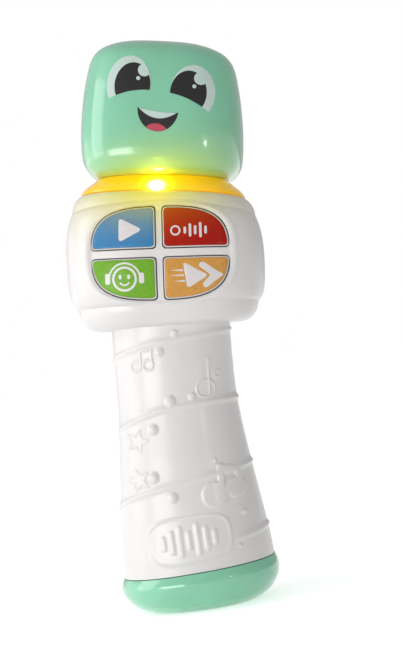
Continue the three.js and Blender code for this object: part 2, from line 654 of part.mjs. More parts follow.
// Loudspeaker.
const speakerFrame = shifted(panel, 0, SPEAKER_BACK, 0);
place("speaker_magnet", bar(MAGNET.radius, 0, MAGNET.height, 0, 0, speakerFrame, 20), STEEL);
place("speaker_basket", turned(BASKET, speakerFrame), STEEL);
place("speaker_cone", turned(CONE, speakerFrame), PAPER);

// Microphone capsule in its rubber boot.
place(
  "capsule_boot",
  post(BOOT.outer, BOOT.from, BOOT.to, 0, CAPSULE.y, topFrame)
    .subtract(post(BOOT.inner, BOOT.from + 1.1, BOOT.to + 1, 0, CAPSULE.y, topFrame)),
  SILICONE,
);
place("capsule", post(CAPSULE.radius, CAPSULE.from, CAPSULE.to, 0, CAPSULE.y, topFrame), STEEL);

// Battery tray, cells, springs and contacts. Neighbouring cells point opposite ways.
const trayInner = { x: TRAY.halfWidth - TRAY.wall, z: TRAY.half - TRAY.wall };
place(
  "battery_tray",
  cut(
    block([-TRAY.halfWidth, TRAY.from, -TRAY.half], [TRAY.halfWidth, TRAY.rim, TRAY.half], bay),
    block([-trayInner.x, TRAY.floor, -trayInner.z], [trayInner.x, FAR, trayInner.z], bay),
  ),
  WHITE,
);
const contact = (from, to, end) =>
  block(
    [from, CONTACT.low, Math.min(end * CONTACT.from, end * CONTACT.to)],
    [to, CONTACT.high, Math.max(end * CONTACT.from, end * CONTACT.to)],
    bay,
  );
const { pitch, y: cellY } = CELL;
place("contact_lower_bridge", contact(-pitch - CONTACT.half, CONTACT.half, -1), NICKEL);
place("contact_lower_tab", contact(pitch - CONTACT.half, pitch + CONTACT.half, -1), NICKEL);
place("contact_upper_bridge", contact(-CONTACT.half, pitch + CONTACT.half, 1), NICKEL);
place("contact_upper_tab", contact(-pitch - CONTACT.half, CONTACT.half - pitch, 1), NICKEL);
[1, -1, 1].forEach((up, i) => {
  const x = (i - 1) * pitch;
  const upright = shifted(bay, x, cellY, 0).multiply(new THREE.Matrix4().makeRotationX((up * Math.PI) / 2));
  place(`battery_${i + 1}`, turned(CELL.profile, upright), FILM);
  place(`battery_spring_${i + 1}`, coil(x, -up), NICKEL);
});

// Battery door with its captive screw.
const doorPanel = handleOuter
  .subtract(loft(HANDLE, WALL))
  .intersect(prism(doorOutline(0), 2, FAR, doorFrame));
place(
  "battery_door",
  cut(
    doorPanel,
    bar(SCREW.clear, 0, FAR, 0, DOOR.screwAt, doorFrame, 12),
    bar(DOOR_SCREW.recess, DOOR_SCREW.seat, FAR, 0, DOOR.screwAt, doorFrame, 20),
  ),
  GREEN,
);
place(
  "door_screw",
  turned(DOOR_SCREW.profile, shifted(doorFrame, 0, 0, DOOR.screwAt), 12),
  STEEL,
);

// Power slider and the switch behind it.
const [flangeX, flangeZ] = SLIDER.flange;
const knob = block(
  [-SLIDER.halfWidth, SLIDER.from, SLIDER.rest - SLIDER.halfHeight],
  [SLIDER.halfWidth, SLIDER.to, SLIDER.rest + SLIDER.halfHeight],
  switchFrame,
);
const knobFlange = block(
  [-flangeX, SLIDER.from, SLIDER.rest - flangeZ],
  [flangeX, SLIDER.flangeTo, SLIDER.rest + flangeZ],
  switchFrame,
);
place("power_slider", knob.add(knobFlange), BLACK);
const [switchX, switchZ] = SWITCH.half;
place(
  "slide_switch",
  block([-switchX, SWITCH.from, -switchZ], [switchX, SWITCH.to, switchZ], switchFrame),
  STEEL,
);

// Screws and wires.
for (const [name, frame, x, z] of [...caseScrews, ...headScrews]) {
  place(name, turned(SCREW.profile, shifted(frame, x, SCREW.seat, z), 10), STEEL);
}
for (const side of [-1, 1]) {
  const at = shifted(panel, side * BOARD_BOSS.x, BOARD_PLATE.to, 0);
  place(`board_screw_${side < 0 ? "left" : "right"}`, turned(BOARD_SCREW, at, 10), STEEL);
}
for (const [name, points] of Object.entries(WIRES)) place(name, wire(points), plastic(0x8a1f1f, 0.45));

export default microphone;
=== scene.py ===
import math

import bpy
import numpy as np
from mathutils import Matrix, Vector
from mathutils.geometry import delaunay_2d_cdt


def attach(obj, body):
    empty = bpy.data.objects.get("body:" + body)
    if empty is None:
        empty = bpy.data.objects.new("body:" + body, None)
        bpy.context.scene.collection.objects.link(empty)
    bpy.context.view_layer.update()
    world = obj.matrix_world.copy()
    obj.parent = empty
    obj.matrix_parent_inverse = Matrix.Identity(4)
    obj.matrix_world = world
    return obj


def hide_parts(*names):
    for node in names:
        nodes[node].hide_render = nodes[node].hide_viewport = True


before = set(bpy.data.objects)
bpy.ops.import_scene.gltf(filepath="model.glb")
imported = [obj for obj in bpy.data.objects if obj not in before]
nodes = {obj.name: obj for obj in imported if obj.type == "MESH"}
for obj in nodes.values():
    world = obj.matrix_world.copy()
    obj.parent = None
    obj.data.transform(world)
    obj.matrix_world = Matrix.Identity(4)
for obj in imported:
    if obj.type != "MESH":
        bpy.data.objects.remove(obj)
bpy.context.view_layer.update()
MM = 0.001

# ---------- Dimensions shared with the CAD ----------
BEND_START = 45
BEND_RADIUS = 1045
TWIST = np.array([(0, 0), (16, -1.8), (60, -0.8), (110, 0), (142, 1.2), (167, 2.2), (174, 1.6), (230, 1.6)])
CROWN = {"reach": 38, "from": 142, "full": 158, "hold": 175, "to": 192, "body": 1.5, "pillow": 3.4}
PART_PLANE = 1
GAP = 0.3
FAR = 50

# Button cluster, in a frame standing on the spine at this height.
PANEL_AT = 141.7
CLUSTER = {"half_width": 26.9, "half_height": 18, "power": 3, "corner": 1.6}
CROSS = {"upright": 2.2, "bar": 2.9}
RECESS = {"depth": 1, "margin": 0.9, "wall": 0.8}
LIP = {"at": 2.1, "width": 0.8, "height": 0.4}
KEYS = {"play": (-1, 1), "record": (1, 1), "voice": (-1, -1), "forward": (1, -1)}
KEY = {"gap": 0.5, "back": -23.7, "flange": 0.7, "lip": 0.9}
LABEL = {"margin": 0.4, "pocket": 0.75, "low": 0.65, "high": 0.15, "side": 0.1}
LABEL_SLOTS = {"play": "blue_label", "record": "red_label", "voice": "green_label", "forward": "orange_label"}
OUTLINE_POINTS = 120

# The skins' own walls, how far inside them the CAD's walls join on, and the bore that the neck passes.
SKIN_WALL = 1.2
CORE_INSET = 0.6
NECK_BORE = {"radius": 9.6, "frame_at": 170}

DOOR = {"low": 36, "high": 96, "half_width": 17.5, "corner": 4, "wall": 2.2, "screw_at": 92}
BAY_AT = 62
SWITCH_AT = 104.9
SLIDER_SLOT = (2.9, 5.9)
GRILLE = {"radius": 13, "slots": 7, "pitch": 3.5, "height": 1.5}
SCREW = {"clear": 1.5, "recess": 3.1, "seat": 9, "door_recess": 2.8, "door_seat": 20.6}
CASE_SCREWS = {
    "case_screw_handle": (28, 0, 0),
    "case_screw_lower_left": (PANEL_AT, -29.5, -13.5),
    "case_screw_lower_right": (PANEL_AT, 29.5, -13.5),
    "case_screw_upper_left": (PANEL_AT, -29.5, 13.5),
    "case_screw_upper_right": (PANEL_AT, 29.5, 13.5),
}
HEAD_SCREWS = {"head_screw_left": (186, -22, 0), "head_screw_right": (186, 22, 0)}
SOUND_HOLES = {"count": 6, "radius": 0.8, "circle": 3, "y": 8.8, "frame_at": 224}


# ---------- The spine ----------
def spine(s):
    """Origin (x, z) and lean of the section frame at height s along the spine."""
    s = np.asarray(s, float)
    bend = np.maximum(0, s - BEND_START) / BEND_RADIUS
    x = BEND_RADIUS * (1 - np.cos(bend))
    z = np.where(s <= BEND_START, s, BEND_START + BEND_RADIUS * np.sin(bend))
    return x, z, bend + np.radians(np.interp(s, TWIST[:, 0], TWIST[:, 1]))


def smooth_step(low, high, value):
    t = np.clip((value - low) / (high - low), 0, 1)
    return t * t * (3 - 2 * t)


def dip(x, s, most):
    """How far the edges at the collar dip at section x and height s."""
    level = smooth_step(CROWN["from"], CROWN["full"], s) * (1 - smooth_step(CROWN["hold"], CROWN["to"], s))
    return most * level * (x / CROWN["reach"]) ** 2


def on_section(x, y, s):
    """World points of section coordinates (x, y) at height s."""
    ox, oz, lean = spine(s)
    z = -dip(x, s, CROWN["body"])
    across, up = x * np.cos(lean) + z * np.sin(lean), z * np.cos(lean) - x * np.sin(lean)
    return np.stack(np.broadcast_arrays(ox + across, y, oz + up), -1)


def in_frame(at, x, y, z):
    """World points of coordinates in the frame that stands at height `at`."""
    ox, oz, lean = spine(at)
    c, k = np.cos(lean), np.sin(lean)
    return np.stack(np.broadcast_arrays(ox + x * c + z * k, y, oz - x * k + z * c), -1)


def to_section(x, z):
    """Section x and height s of a world (x, z)."""
    s = np.array(z, float)
    for _ in range(10):
        ox, oz, lean = spine(s)
        s = s + (x - ox) * np.sin(lean) + (z - oz) * np.cos(lean)
    ox, oz, lean = spine(s)
    return (x - ox) * np.cos(lean) - (z - oz) * np.sin(lean), s


def frame_matrix(at):
    """The frame at height `at` as a matrix, in metres."""
    ox, oz, lean = (float(v) for v in spine(at))
    return Matrix.Translation((ox * MM, 0, oz * MM)) @ Matrix.Rotation(lean, 4, "Y")


def spline(points, steps=24):
    """Points along a uniform Catmull-Rom curve."""
    p = np.array(points, float)
    p = np.vstack([p[:1], p, p[-1:]])
    t = np.linspace(0, 1, steps, endpoint=False)[:, None]
    parts = []
    for a, b, c, d in zip(p, p[1:], p[2:], p[3:]):
        v0, v1 = (c - a) / 2, (d - b) / 2
        parts.append((2 * b - 2 * c + v0 + v1) * t**3 + (3 * c - 3 * b - 2 * v0 - v1) * t**2 + v0 * t + b)
    return np.vstack([*parts, p[-1:]])


# ---------- Casing forms ----------
class Form:
    """A squared section swept up the spine: [height, half width] points, and depths as shares of it."""

    def __init__(self, meridian, front, rear, power):
        self.curve = spline(meridian)
        self.front, self.rear, self.power = front, rear, power

    def half(self, s):
        return np.interp(s, self.curve[:, 0], self.curve[:, 1], left=0, right=0)

    def radius(self, angle, s):
        """Distance of the skin from the spine, in the direction `angle` of the section; 0 off the form."""
        half = self.half(s)
        depth = np.where(np.sin(angle) < 0, self.front, self.rear) * half
        with np.errstate(divide="ignore", invalid="ignore"):
            total = np.abs(np.cos(angle) / half) ** self.power + np.abs(np.sin(angle) / depth) ** self.power
            return np.where(half > 0, total ** (-1 / self.power), 0)

    def face(self, x, s, inset=0):
        """y of the front skin at section x and height s, moved in by the inset."""
        half = self.half(s)
        share = np.clip(1 - np.abs(x / (half - inset)) ** self.power, 0, None) ** (1 / self.power)
        return -(self.front * half - inset) * share


HANDLE = Form(
    [(16.2, 30.9), (24, 30.5), (32, 29.7), (46, 28.1), (60, 26.5), (72, 25.2), (84, 24.3), (96, 24),
     (108, 24), (118, 24.2)],
    0.92, 0.93, 2.2,
)
HOUSING = Form(
    [(113.6, 29.6), (114.4, 32.2), (116, 34.2), (118.5, 35.7), (122, 36.4), (130, 36.6), (142, 36.7),
     (154, 37.2), (160, 37.2), (163, 36.6), (165.3, 35.2), (166.4, 33.7), (166.7, 32.5)],
    0.82, 0.7, 2.8,
)
PILLOW = Form(
    [(122, 35.4), (122.7, 37.1), (124, 38.1), (127, 39.1), (133, 39.8), (142, 40), (151, 39.6),
     (157, 38.8), (160, 37.8), (161.3, 36.8), (162, 35.2)],
    0.84, 0.66, 3,
)
COLLAR = Form([(167, 33.2), (168, 33), (169.6, 31.6), (171.6, 28.9), (173.3, 26.8)], 0.82, 0.7, 2.7)
HEAD = Form(
    [(173.6, 25.4), (174.4, 27.6), (176.2, 29.6), (180, 31.9), (186, 32.7), (195, 32.7), (205, 31.9),
     (213, 30.7), (219, 29.3), (222.8, 27), (225.4, 23.2), (227.4, 17.6), (228.6, 10), (229, 2)],
    0.935, 0.84, 3,
)
BASE = Form(
    [(0, 19.5), (0.5, 22.4), (1.8, 25.4), (4.2, 28.7), (8, 31.5), (11.5, 32.4), (14, 32), (15.9, 31.1)],
    0.93, 0.93, 2.2,
)


def smooth_max(a, b, blend):
    overlap = np.clip(blend - np.abs(a - b), 0, None) / blend
    return np.maximum(a, b) + overlap**2 * blend / 4


# ---------- Relief on the casings ----------
def ridge(distance, width, height):
    return height * np.exp(-((distance / width) ** 2))


def raised(distance, height, edge=0.35):
    """A flat island where the signed distance is negative."""
    return height * (1 - smooth_step(-edge, edge, distance))


def to_line(x, z, points):
    """Distance to a polyline."""
    best = np.full(np.shape(x), 1e9)
    for (x0, z0), (x1, z1) in zip(points, points[1:]):
        dx, dz = x1 - x0, z1 - z0
        t = np.clip(((x - x0) * dx + (z - z0) * dz) / (dx * dx + dz * dz), 0, 1)
        best = np.minimum(best, np.hypot(x - x0 - t * dx, z - z0 - t * dz))
    return best


def star(x, z, radius, turn):
    """Corners of a five-pointed star as a closed polyline."""
    angles = np.radians(turn + 36 * np.arange(11))
    reach = np.where(np.arange(11) % 2 == 0, radius, radius * 0.48)
    return list(zip(x + reach * np.sin(angles), z + reach * np.cos(angles)))


# The rib winds up the handle: [turns from the left edge, height]. Half a turn crosses the front.
RIB = np.array([
    (0.34, 25.6), (0.353, 26.2), (0.404, 27.4), (0.5, 28.9), (1, 43.6), (1.146, 48.9), (1.24, 51.2),
    (1.34, 53.2), (1.5, 55.6), (2, 71.9), (2.143, 77.8), (2.217, 80.6), (2.328, 81.8), (2.5, 82.4),
    (3, 100.7), (3.206, 106.9), (3.319, 108.4), (3.36, 109.2), (3.5, 111),
])
RIB_SHAPE = {"width": 1.05, "height": 0.85, "groove_below": 2.2, "groove": 0.16}
DOTS = [  # x, height, radius
    (2.8, 110.3, 1.6), (-3.8, 103.4, 1.9), (-1.3, 83.6, 2.3), (7.5, 84.6, 1.6), (-9.3, 73.3, 2.2),
    (-11.2, 54.8, 2.3), (-4.5, 46.2, 2.1), (13.5, 58.2, 1.0), (22, 36.2, 1.2), (18.7, 23.6, 1.0),
]
DOT_DOME = 0.62
FINE_LINE = {"width": 0.34, "height": 0.5}
BADGE = {"x": -0.4, "z": 29, "half_width": 16.1, "half_height": 9, "power": 3.6, "line": 0.38, "raised": 0.42}
WAVE_BARS = [(-10.2, 2), (-6.8, 3.7), (-3.4, 5.2), (0, 3), (3.4, 5.6), (6.8, 3.9), (10.2, 2.2)]
DOOR_GRIPS = [39.5, 41.7, 43.9, 46.1]


def rib_relief(angle, s):
    """The winding rib over the front, faded out beside the parting line."""
    across = (angle + math.pi) / math.pi / 2
    total = np.zeros(np.shape(s))
    for turn in range(4):
        low, high = turn, turn + 0.5
        inside = (across + turn >= max(low, RIB[0, 0])) & (across + turn <= high)
        d = s - np.interp(across + turn, RIB[:, 0], RIB[:, 1])
        bump = ridge(d, RIB_SHAPE["width"], RIB_SHAPE["height"])
        bump = bump - ridge(d + RIB_SHAPE["groove_below"], 0.4, RIB_SHAPE["groove"])
        start = smooth_step(RIB[0, 0], RIB[0, 0] + 0.03, across + turn)
        total += np.where(inside, bump * start, 0)
    return total * smooth_step(0, 0.012, across) * smooth_step(0, 0.012, 0.5 - across)


def line_relief(x, s):
    """Raised outlines of notes and stars, and the badge frame."""
    outlines = [
        to_line(x, s, star(-16.3, 69.4, 4.6, 20)),
        to_line(x, s, star(-17.4, 54.6, 4.6, -14)),
        np.abs(np.hypot(x + 13.4, s - 98.6) - 2),
        np.abs(np.hypot(x + 8.6, s - 98.6) - 2),
        to_line(x, s, [(-11.5, 99), (-11.4, 104), (-6.8, 104.6), (-6.8, 99)]),
        np.abs(np.hypot(x - 13, s - 87.2) - 3.5),
        to_line(x, s, [(14.4, 85), (14.8, 99.4)]),
        np.abs(np.hypot(x - 18, s - 92.6) - 1.3),
    ]
    total = ridge(np.min(outlines, 0), FINE_LINE["width"], FINE_LINE["height"])
    return np.maximum(total, ridge(badge_distance(x, s), BADGE["line"], BADGE["raised"]))


def badge_distance(x, s):
    u = np.abs((x - BADGE["x"]) / BADGE["half_width"]) ** BADGE["power"]
    v = np.abs((s - BADGE["z"]) / BADGE["half_height"]) ** BADGE["power"]
    return ((u + v) ** (1 / BADGE["power"]) - 1) * BADGE["half_height"]


def island_relief(x, s):
    """The raised pair of notes and the wave of bars in the badge."""
    notes = [
        np.hypot(x - 11.8, s - 44.9) - 5,
        np.hypot(x - 20, s - 46.4) - 4,
        to_line(x, s, [(14.8, 46), (14.9, 55.6)]) - 1.15,
        to_line(x, s, [(14.9, 55.2), (21.2, 53.6)]) - 1.15,
        to_line(x, s, [(21.6, 47), (21.5, 53.6)]) - 1.05,
    ]
    total = raised(np.min(notes, 0), 0.8)
    bx, bz = BADGE["x"], BADGE["z"]
    bars = [to_line(x, s, [(bx + at, bz - half), (bx + at, bz + half)]) for at, half in WAVE_BARS]
    return np.maximum(total, raised(np.min(bars, 0) - 0.85, 0.5))


def dot_relief(x, s):
    total = np.zeros(np.shape(s))
    for at, height, radius in DOTS:
        share = np.clip(1 - ((x - at) ** 2 + (s - height) ** 2) / radius**2, 0, None)
        total = np.maximum(total, share ** DOT_DOME * radius * DOT_DOME)
    return total


def cluster_distance(x, z):
    """Signed distance from the outline of the button cluster, close to it."""
    u = np.abs(x / CLUSTER["half_width"]) ** CLUSTER["power"]
    v = np.abs(z / CLUSTER["half_height"]) ** CLUSTER["power"]
    field = (u + v) ** (1 / CLUSTER["power"])
    reach = np.hypot(x, z) / np.maximum(field, 1e-6)
    slope = 0.5 + 0.5 * np.minimum(1, CLUSTER["half_height"] / np.maximum(reach, 1))
    return (field - 1) * reach * slope


def panel_relief(x, y, s):
    """The sunk cluster with its wall, and the soft lip around it."""
    world = on_section(x, y, s)
    ox, oz, lean = (float(v) for v in spine(PANEL_AT))
    px = (world[..., 0] - ox) * math.cos(lean) - (world[..., 2] - oz) * math.sin(lean)
    pz = (world[..., 0] - ox) * math.sin(lean) + (world[..., 2] - oz) * math.cos(lean)
    d = cluster_distance(px, pz)
    wall = RECESS["wall"] / 2
    sunk = RECESS["depth"] * (1 - smooth_step(RECESS["margin"] - wall, RECESS["margin"] + wall, d))
    return ridge(d - LIP["at"], LIP["width"], LIP["height"]) - sunk


def body_radius(angle, s):
    """The whole body's skin: handle, housing and pillow blended, with the relief."""
    housing = HOUSING.radius(angle, s)
    side = np.cos(angle) * PILLOW.radius(angle, s)
    pillow = PILLOW.radius(angle, s + dip(side, s, CROWN["pillow"] - CROWN["body"]))
    upper = np.where(pillow > 0, smooth_max(housing, pillow, 1.6), housing)
    radius = np.maximum(HANDLE.radius(angle, s), upper)
    x, y = radius * np.cos(angle), radius * np.sin(angle)
    front = np.sin(angle) < -0.02
    handle = front & (s < 113.5)
    detail = rib_relief(np.arctan2(np.sin(angle), np.cos(angle)), s)
    detail = np.maximum(detail, line_relief(x, s))
    detail = np.maximum(detail, island_relief(x, s))
    detail = np.maximum(detail, dot_relief(x, s))
    grips = np.min([np.abs(s - at) for at in DOOR_GRIPS], 0)
    grip = ridge(grips, 0.45, 0.4) * (1 - smooth_step(5.5, 7, np.abs(x)))
    relief = np.where(handle, detail, 0) + np.where(~front & (s < 60) & (y > 5), grip, 0)
    relief += np.where(front & (s > 119) & (s < 163), panel_relief(x, y, s), 0)
    return radius + relief


# ---------- Mesh making ----------
def make_object(name, points, faces):
    """A mesh object from points in millimetres."""
    mesh = bpy.data.meshes.new(name)
    mesh.from_pydata((np.asarray(points) * MM).tolist(), [], faces)
    mesh.update()
    item = bpy.data.objects.new(name, mesh)
    bpy.context.scene.collection.objects.link(item)
    return item


def tube_faces(rings, count):
    """Quads between successive rings, each of `count` points."""
    i = np.arange(count)
    j = (i + 1) % count
    k = (np.arange(rings - 1) * count)[:, None]
    return np.stack([k + i, k + j, k + count + j, k + count + i], -1).reshape(-1, 4).tolist()


def stack(name, rings):
    """A closed solid from rings of points, with a fan at both ends."""
    count = len(rings[0])
    points = np.vstack(rings)
    bottom, top = len(points), len(points) + 1
    points = np.vstack([points, rings[0].mean(0), rings[-1].mean(0)])
    faces = tube_faces(len(rings), count)
    last = bottom - count
    for i in range(count):
        j = (i + 1) % count
        faces += [(bottom, j, i), (top, last + i, last + j)]
    return make_object(name, points, faces)


def section_angles(front, rear, depth=0.86, power=2.5):
    """Directions around a section, evenly spaced along it, closer on the front than on the rear."""
    angle = np.linspace(-math.pi, math.pi, 20001)
    radius = (np.abs(np.cos(angle)) ** power + np.abs(np.sin(angle) / depth) ** power) ** (-1 / power)
    x, y = radius * np.cos(angle), radius * np.sin(angle)
    along = np.concatenate([[0], np.cumsum(np.hypot(np.diff(x), np.diff(y)))])
    middle = along[10000]
    targets = np.concatenate([
        np.linspace(0, middle, front, endpoint=False),
        np.linspace(middle, along[-1], rear, endpoint=False),
    ])
    return np.interp(targets, along, angle)


def sweep(name, radius_of, heights, angles, inset=0):
    """A closed solid whose rings lie on sections of the spine."""
    rings = []
    for s in heights:
        radius = radius_of(angles, np.full(len(angles), float(s))) - inset
        rings.append(on_section(radius * np.cos(angles), radius * np.sin(angles), s))
    return stack(name, rings)


def spaced(*stops):
    """Heights between stops given as (height, step up to the next)."""
    parts = []
    for (low, step), (high, _) in zip(stops, stops[1:]):
        parts.append(np.linspace(low, high, max(1, round((high - low) / step)), endpoint=False))
    return np.concatenate([*parts, [stops[-1][0]]])


def meridian_heights(form, spacing):
    """Heights evenly spaced along a form's meridian curve, so that its round ends stay smooth."""
    curve = form.curve
    along = np.concatenate([[0], np.cumsum(np.hypot(*np.diff(curve, axis=0).T))])
    targets = np.linspace(0, along[-1], round(along[-1] / spacing) + 1)
    return np.interp(targets, along, curve[:, 0])


def prism(name, outline, low, high, at):
    """An outline in the XZ plane of the frame at height `at`, extruded along Y."""
    outline = np.asarray(outline, float)
    area = np.sum(outline[:, 0] * np.roll(outline[:, 1], -1) - outline[:, 1] * np.roll(outline[:, 0], -1))
    if area > 0:
        outline = outline[::-1]
    return stack(name, [in_frame(at, outline[:, 0], y, outline[:, 1]) for y in (low, high)])


def around(count):
    return np.linspace(0, 2 * math.pi, count, endpoint=False)


def ellipse(x, z, half_x, half_z, count=72):
    angle = around(count)
    return np.stack([x + half_x * np.cos(angle), z + half_z * np.sin(angle)], -1)


def circle(radius, x=0, z=0, count=40):
    return ellipse(x, z, radius, radius, count)


def rectangle(x0, z0, x1, z1, corner=0.0, count=8):
    """A rectangle with round corners."""
    if corner == 0:
        return np.array([(x0, z0), (x1, z0), (x1, z1), (x0, z1)], float)
    parts = []
    for cx, cz, start in [(x1, z1, 0), (x0, z1, 90), (x0, z0, 180), (x1, z0, 270)]:
        angle = np.radians(np.linspace(start, start + 90, count))
        mx = cx - math.copysign(corner, cx - (x0 + x1) / 2)
        mz = cz - math.copysign(corner, cz - (z0 + z1) / 2)
        parts.append(np.stack([mx + corner * np.cos(angle), mz + corner * np.sin(angle)], -1))
    return np.vstack(parts)


def block(name, low, high):
    """A closed box between two corners of the world, for cutting."""
    ring = np.array([(low[0], low[1]), (high[0], low[1]), (high[0], high[1]), (low[0], high[1])], float)
    return stack(name, [np.column_stack([ring, np.full(4, z)]) for z in (low[2], high[2])])


def turned(name, profile, count=40):
    """A closed solid from [radius, height] points turned about Y; the profile ends on the axis."""
    angle = around(count)
    return stack(name, [
        np.stack([r * np.sin(angle), np.full(count, float(h)), r * np.cos(angle)], -1) for r, h in profile
    ])


def boolean(body, *steps):
    """Applies (operation, tool) steps to a closed mesh in order, and removes the tools."""
    for operation, tool in steps:
        modifier = body.modifiers.new(operation, "BOOLEAN")
        modifier.operation = operation
        modifier.solver = "MANIFOLD"
        modifier.object = tool
    bpy.context.view_layer.update()
    evaluated = body.evaluated_get(bpy.context.evaluated_depsgraph_get())
    made = bpy.data.meshes.new_from_object(evaluated)
    body.modifiers.clear()
    old = body.data
    body.data = made
    bpy.data.meshes.remove(old)
    for tool in {tool for _, tool in steps}:
        remove(tool)
    return body


def cut(*tools):
    return [("DIFFERENCE", tool) for tool in tools]


def remove(item):
    mesh = item.data
    bpy.data.objects.remove(item)
    bpy.data.meshes.remove(mesh)


def copy_of_node(name):
    """The CAD node as a closed mesh of its own, with shared corners joined."""
    source = nodes[name].data
    points = np.zeros(len(source.vertices) * 3)
    source.vertices.foreach_get("co", points)
    points = np.round(points.reshape(-1, 3) / MM, 4)
    unique, index = np.unique(points, axis=0, return_inverse=True)
    index = index.reshape(-1)
    faces = [tuple(int(index[v]) for v in face.vertices) for face in source.polygons]
    return make_object(name + "_core", unique, [face for face in faces if len(set(face)) == len(face)])


def finish_piece(item, material, body, slot, *replaced, angle=38):
    """Shades a piece, gives it its material, ties it to its body and hides the CAD nodes it stands for."""
    item.data.shade_smooth()
    item.data.set_sharp_from_angle(angle=math.radians(angle))
    item.data.materials.clear()
    item.data.materials.append(material)
    for face in item.data.polygons:
        face.material_index = 0
    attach(item, body)
    if replaced:
        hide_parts(*replaced)
    return item


# ---------- Outlines of the keys ----------
def resample(points, count):
    """Evenly spaced points along a closed outline."""
    closed = np.vstack([points, points[:1]])
    along = np.concatenate([[0], np.cumsum(np.hypot(*np.diff(closed, axis=0).T))])
    targets = np.linspace(0, along[-1], count, endpoint=False)
    return np.stack([np.interp(targets, along, closed[:, k]) for k in (0, 1)], -1)


def bezier(a, b, c, count=8):
    t = np.linspace(0, 1, count)[:, None]
    a, b, c = (np.array(p, float) for p in (a, b, c))
    return (1 - t) ** 2 * a + 2 * t * (1 - t) * b + t**2 * c


def quadrant(key, grow):
    """Outline of one key in the panel's frame, grown all round."""
    right, up = KEYS[key]
    power = CLUSTER["power"]
    corner = CLUSTER["corner"] + 0.5 * grow
    width, height = CLUSTER["half_width"] + grow, CLUSTER["half_height"] + grow
    left = CROSS["upright"] / 2 + KEY["gap"] - grow
    low = CROSS["bar"] / 2 + KEY["gap"] - grow

    def other(value, own, across):
        return across * (1 - (value / own) ** power) ** (1 / power)

    far, highest = other(low, height, width), other(left, width, height)
    end, begin = other(low + corner, height, width), other(left + corner, width, height)
    angle = np.linspace(0, math.pi / 2, 200)
    arc = np.stack([width * np.cos(angle) ** (2 / power), height * np.sin(angle) ** (2 / power)], -1)
    arc = arc[(arc[:, 1] > low + corner) & (arc[:, 0] > left + corner)]
    points = np.vstack([
        bezier((left, low + corner), (left, low), (left + corner, low)),
        bezier((far - corner, low), (far, low), (end, low + corner)),
        arc,
        bezier((left + corner, begin), (left, highest), (left, highest - corner)),
    ])
    return resample(points, OUTLINE_POINTS) * (right, up)


def on_panel(outline, depth):
    """World points on the pillow, this far under its skin, for an outline in the panel's frame."""
    flat = in_frame(PANEL_AT, outline[:, 0], 0.0, outline[:, 1])
    x, s = to_section(flat[:, 0], flat[:, 2])
    flat[:, 1] = PILLOW.face(x, s, depth)
    return flat


def shrunk(outline, share):
    middle = outline.mean(0)
    return middle + (outline - middle) * share


INNER_SHARES = (0.12, 0.26, 0.4, 0.55, 0.7, 0.85)


def build_key(key):
    """A key's cap with a rounded rim, a pocket for its label and a flange behind the casing."""
    inner = quadrant(key, -LABEL["margin"])
    rings = [on_panel(shrunk(inner, share), LABEL["pocket"]) for share in INNER_SHARES]
    for grow, depth in [
        (-LABEL["margin"], LABEL["pocket"]), (-LABEL["margin"], 0.3), (-LABEL["margin"] + 0.04, 0.25),
        (-0.3, 0.22), (-0.2, 0.27), (-0.09, 0.4), (0, 0.65), (0, 1.2),
    ]:
        rings.append(on_panel(quadrant(key, grow), depth))
    back = KEY["back"]
    for grow, y in [(0, back - KEY["flange"]), (KEY["lip"], back - KEY["flange"]), (KEY["lip"], back)]:
        outline = quadrant(key, grow)
        rings.append(in_frame(PANEL_AT, outline[:, 0], y, outline[:, 1]))
    outline = shrunk(quadrant(key, KEY["lip"]), 0.5)
    rings.append(in_frame(PANEL_AT, outline[:, 0], back, outline[:, 1]))
    return closed_rings(f"{key}_button_cap", rings, key)


def build_label(key):
    """The coloured label in a key's pocket, with a soft edge."""
    edge = -LABEL["margin"] - LABEL["side"]
    inner = quadrant(key, edge)
    rings = [on_panel(shrunk(inner, share), LABEL["high"]) for share in INNER_SHARES]
    high, low = LABEL["high"], LABEL["low"]
    for grow, depth in [(edge - 0.16, high), (edge - 0.04, high + 0.04), (edge, 2 * high), (edge, low)]:
        rings.append(on_panel(quadrant(key, grow), depth))
    rings += [on_panel(shrunk(inner, share), LABEL["low"]) for share in reversed(INNER_SHARES)]
    return closed_rings(f"{key}_button_label", rings, key)


def closed_rings(name, rings, key):
    """Rings run from the face to the back; mirrored quadrants are turned round to face out."""
    right, up = KEYS[key]
    if right * up > 0:
        rings = [ring[::-1] for ring in rings]
    return stack(name, rings)


# ---------- Flat prints laid on a surface ----------
def inside(points, loops):
    """Even-odd test of points against closed loops."""
    result = np.zeros(len(points), bool)
    x, z = points[:, 0], points[:, 1]
    for loop in loops:
        a, b = loop, np.roll(loop, -1, axis=0)
        for (x0, z0), (x1, z1) in zip(a, b):
            crosses = (z0 > z) != (z1 > z)
            if crosses.any():
                at = x0 + (z - z0) / (z1 - z0 if z1 != z0 else 1e-9) * (x1 - x0)
                result ^= crosses & (x < at)
    return result


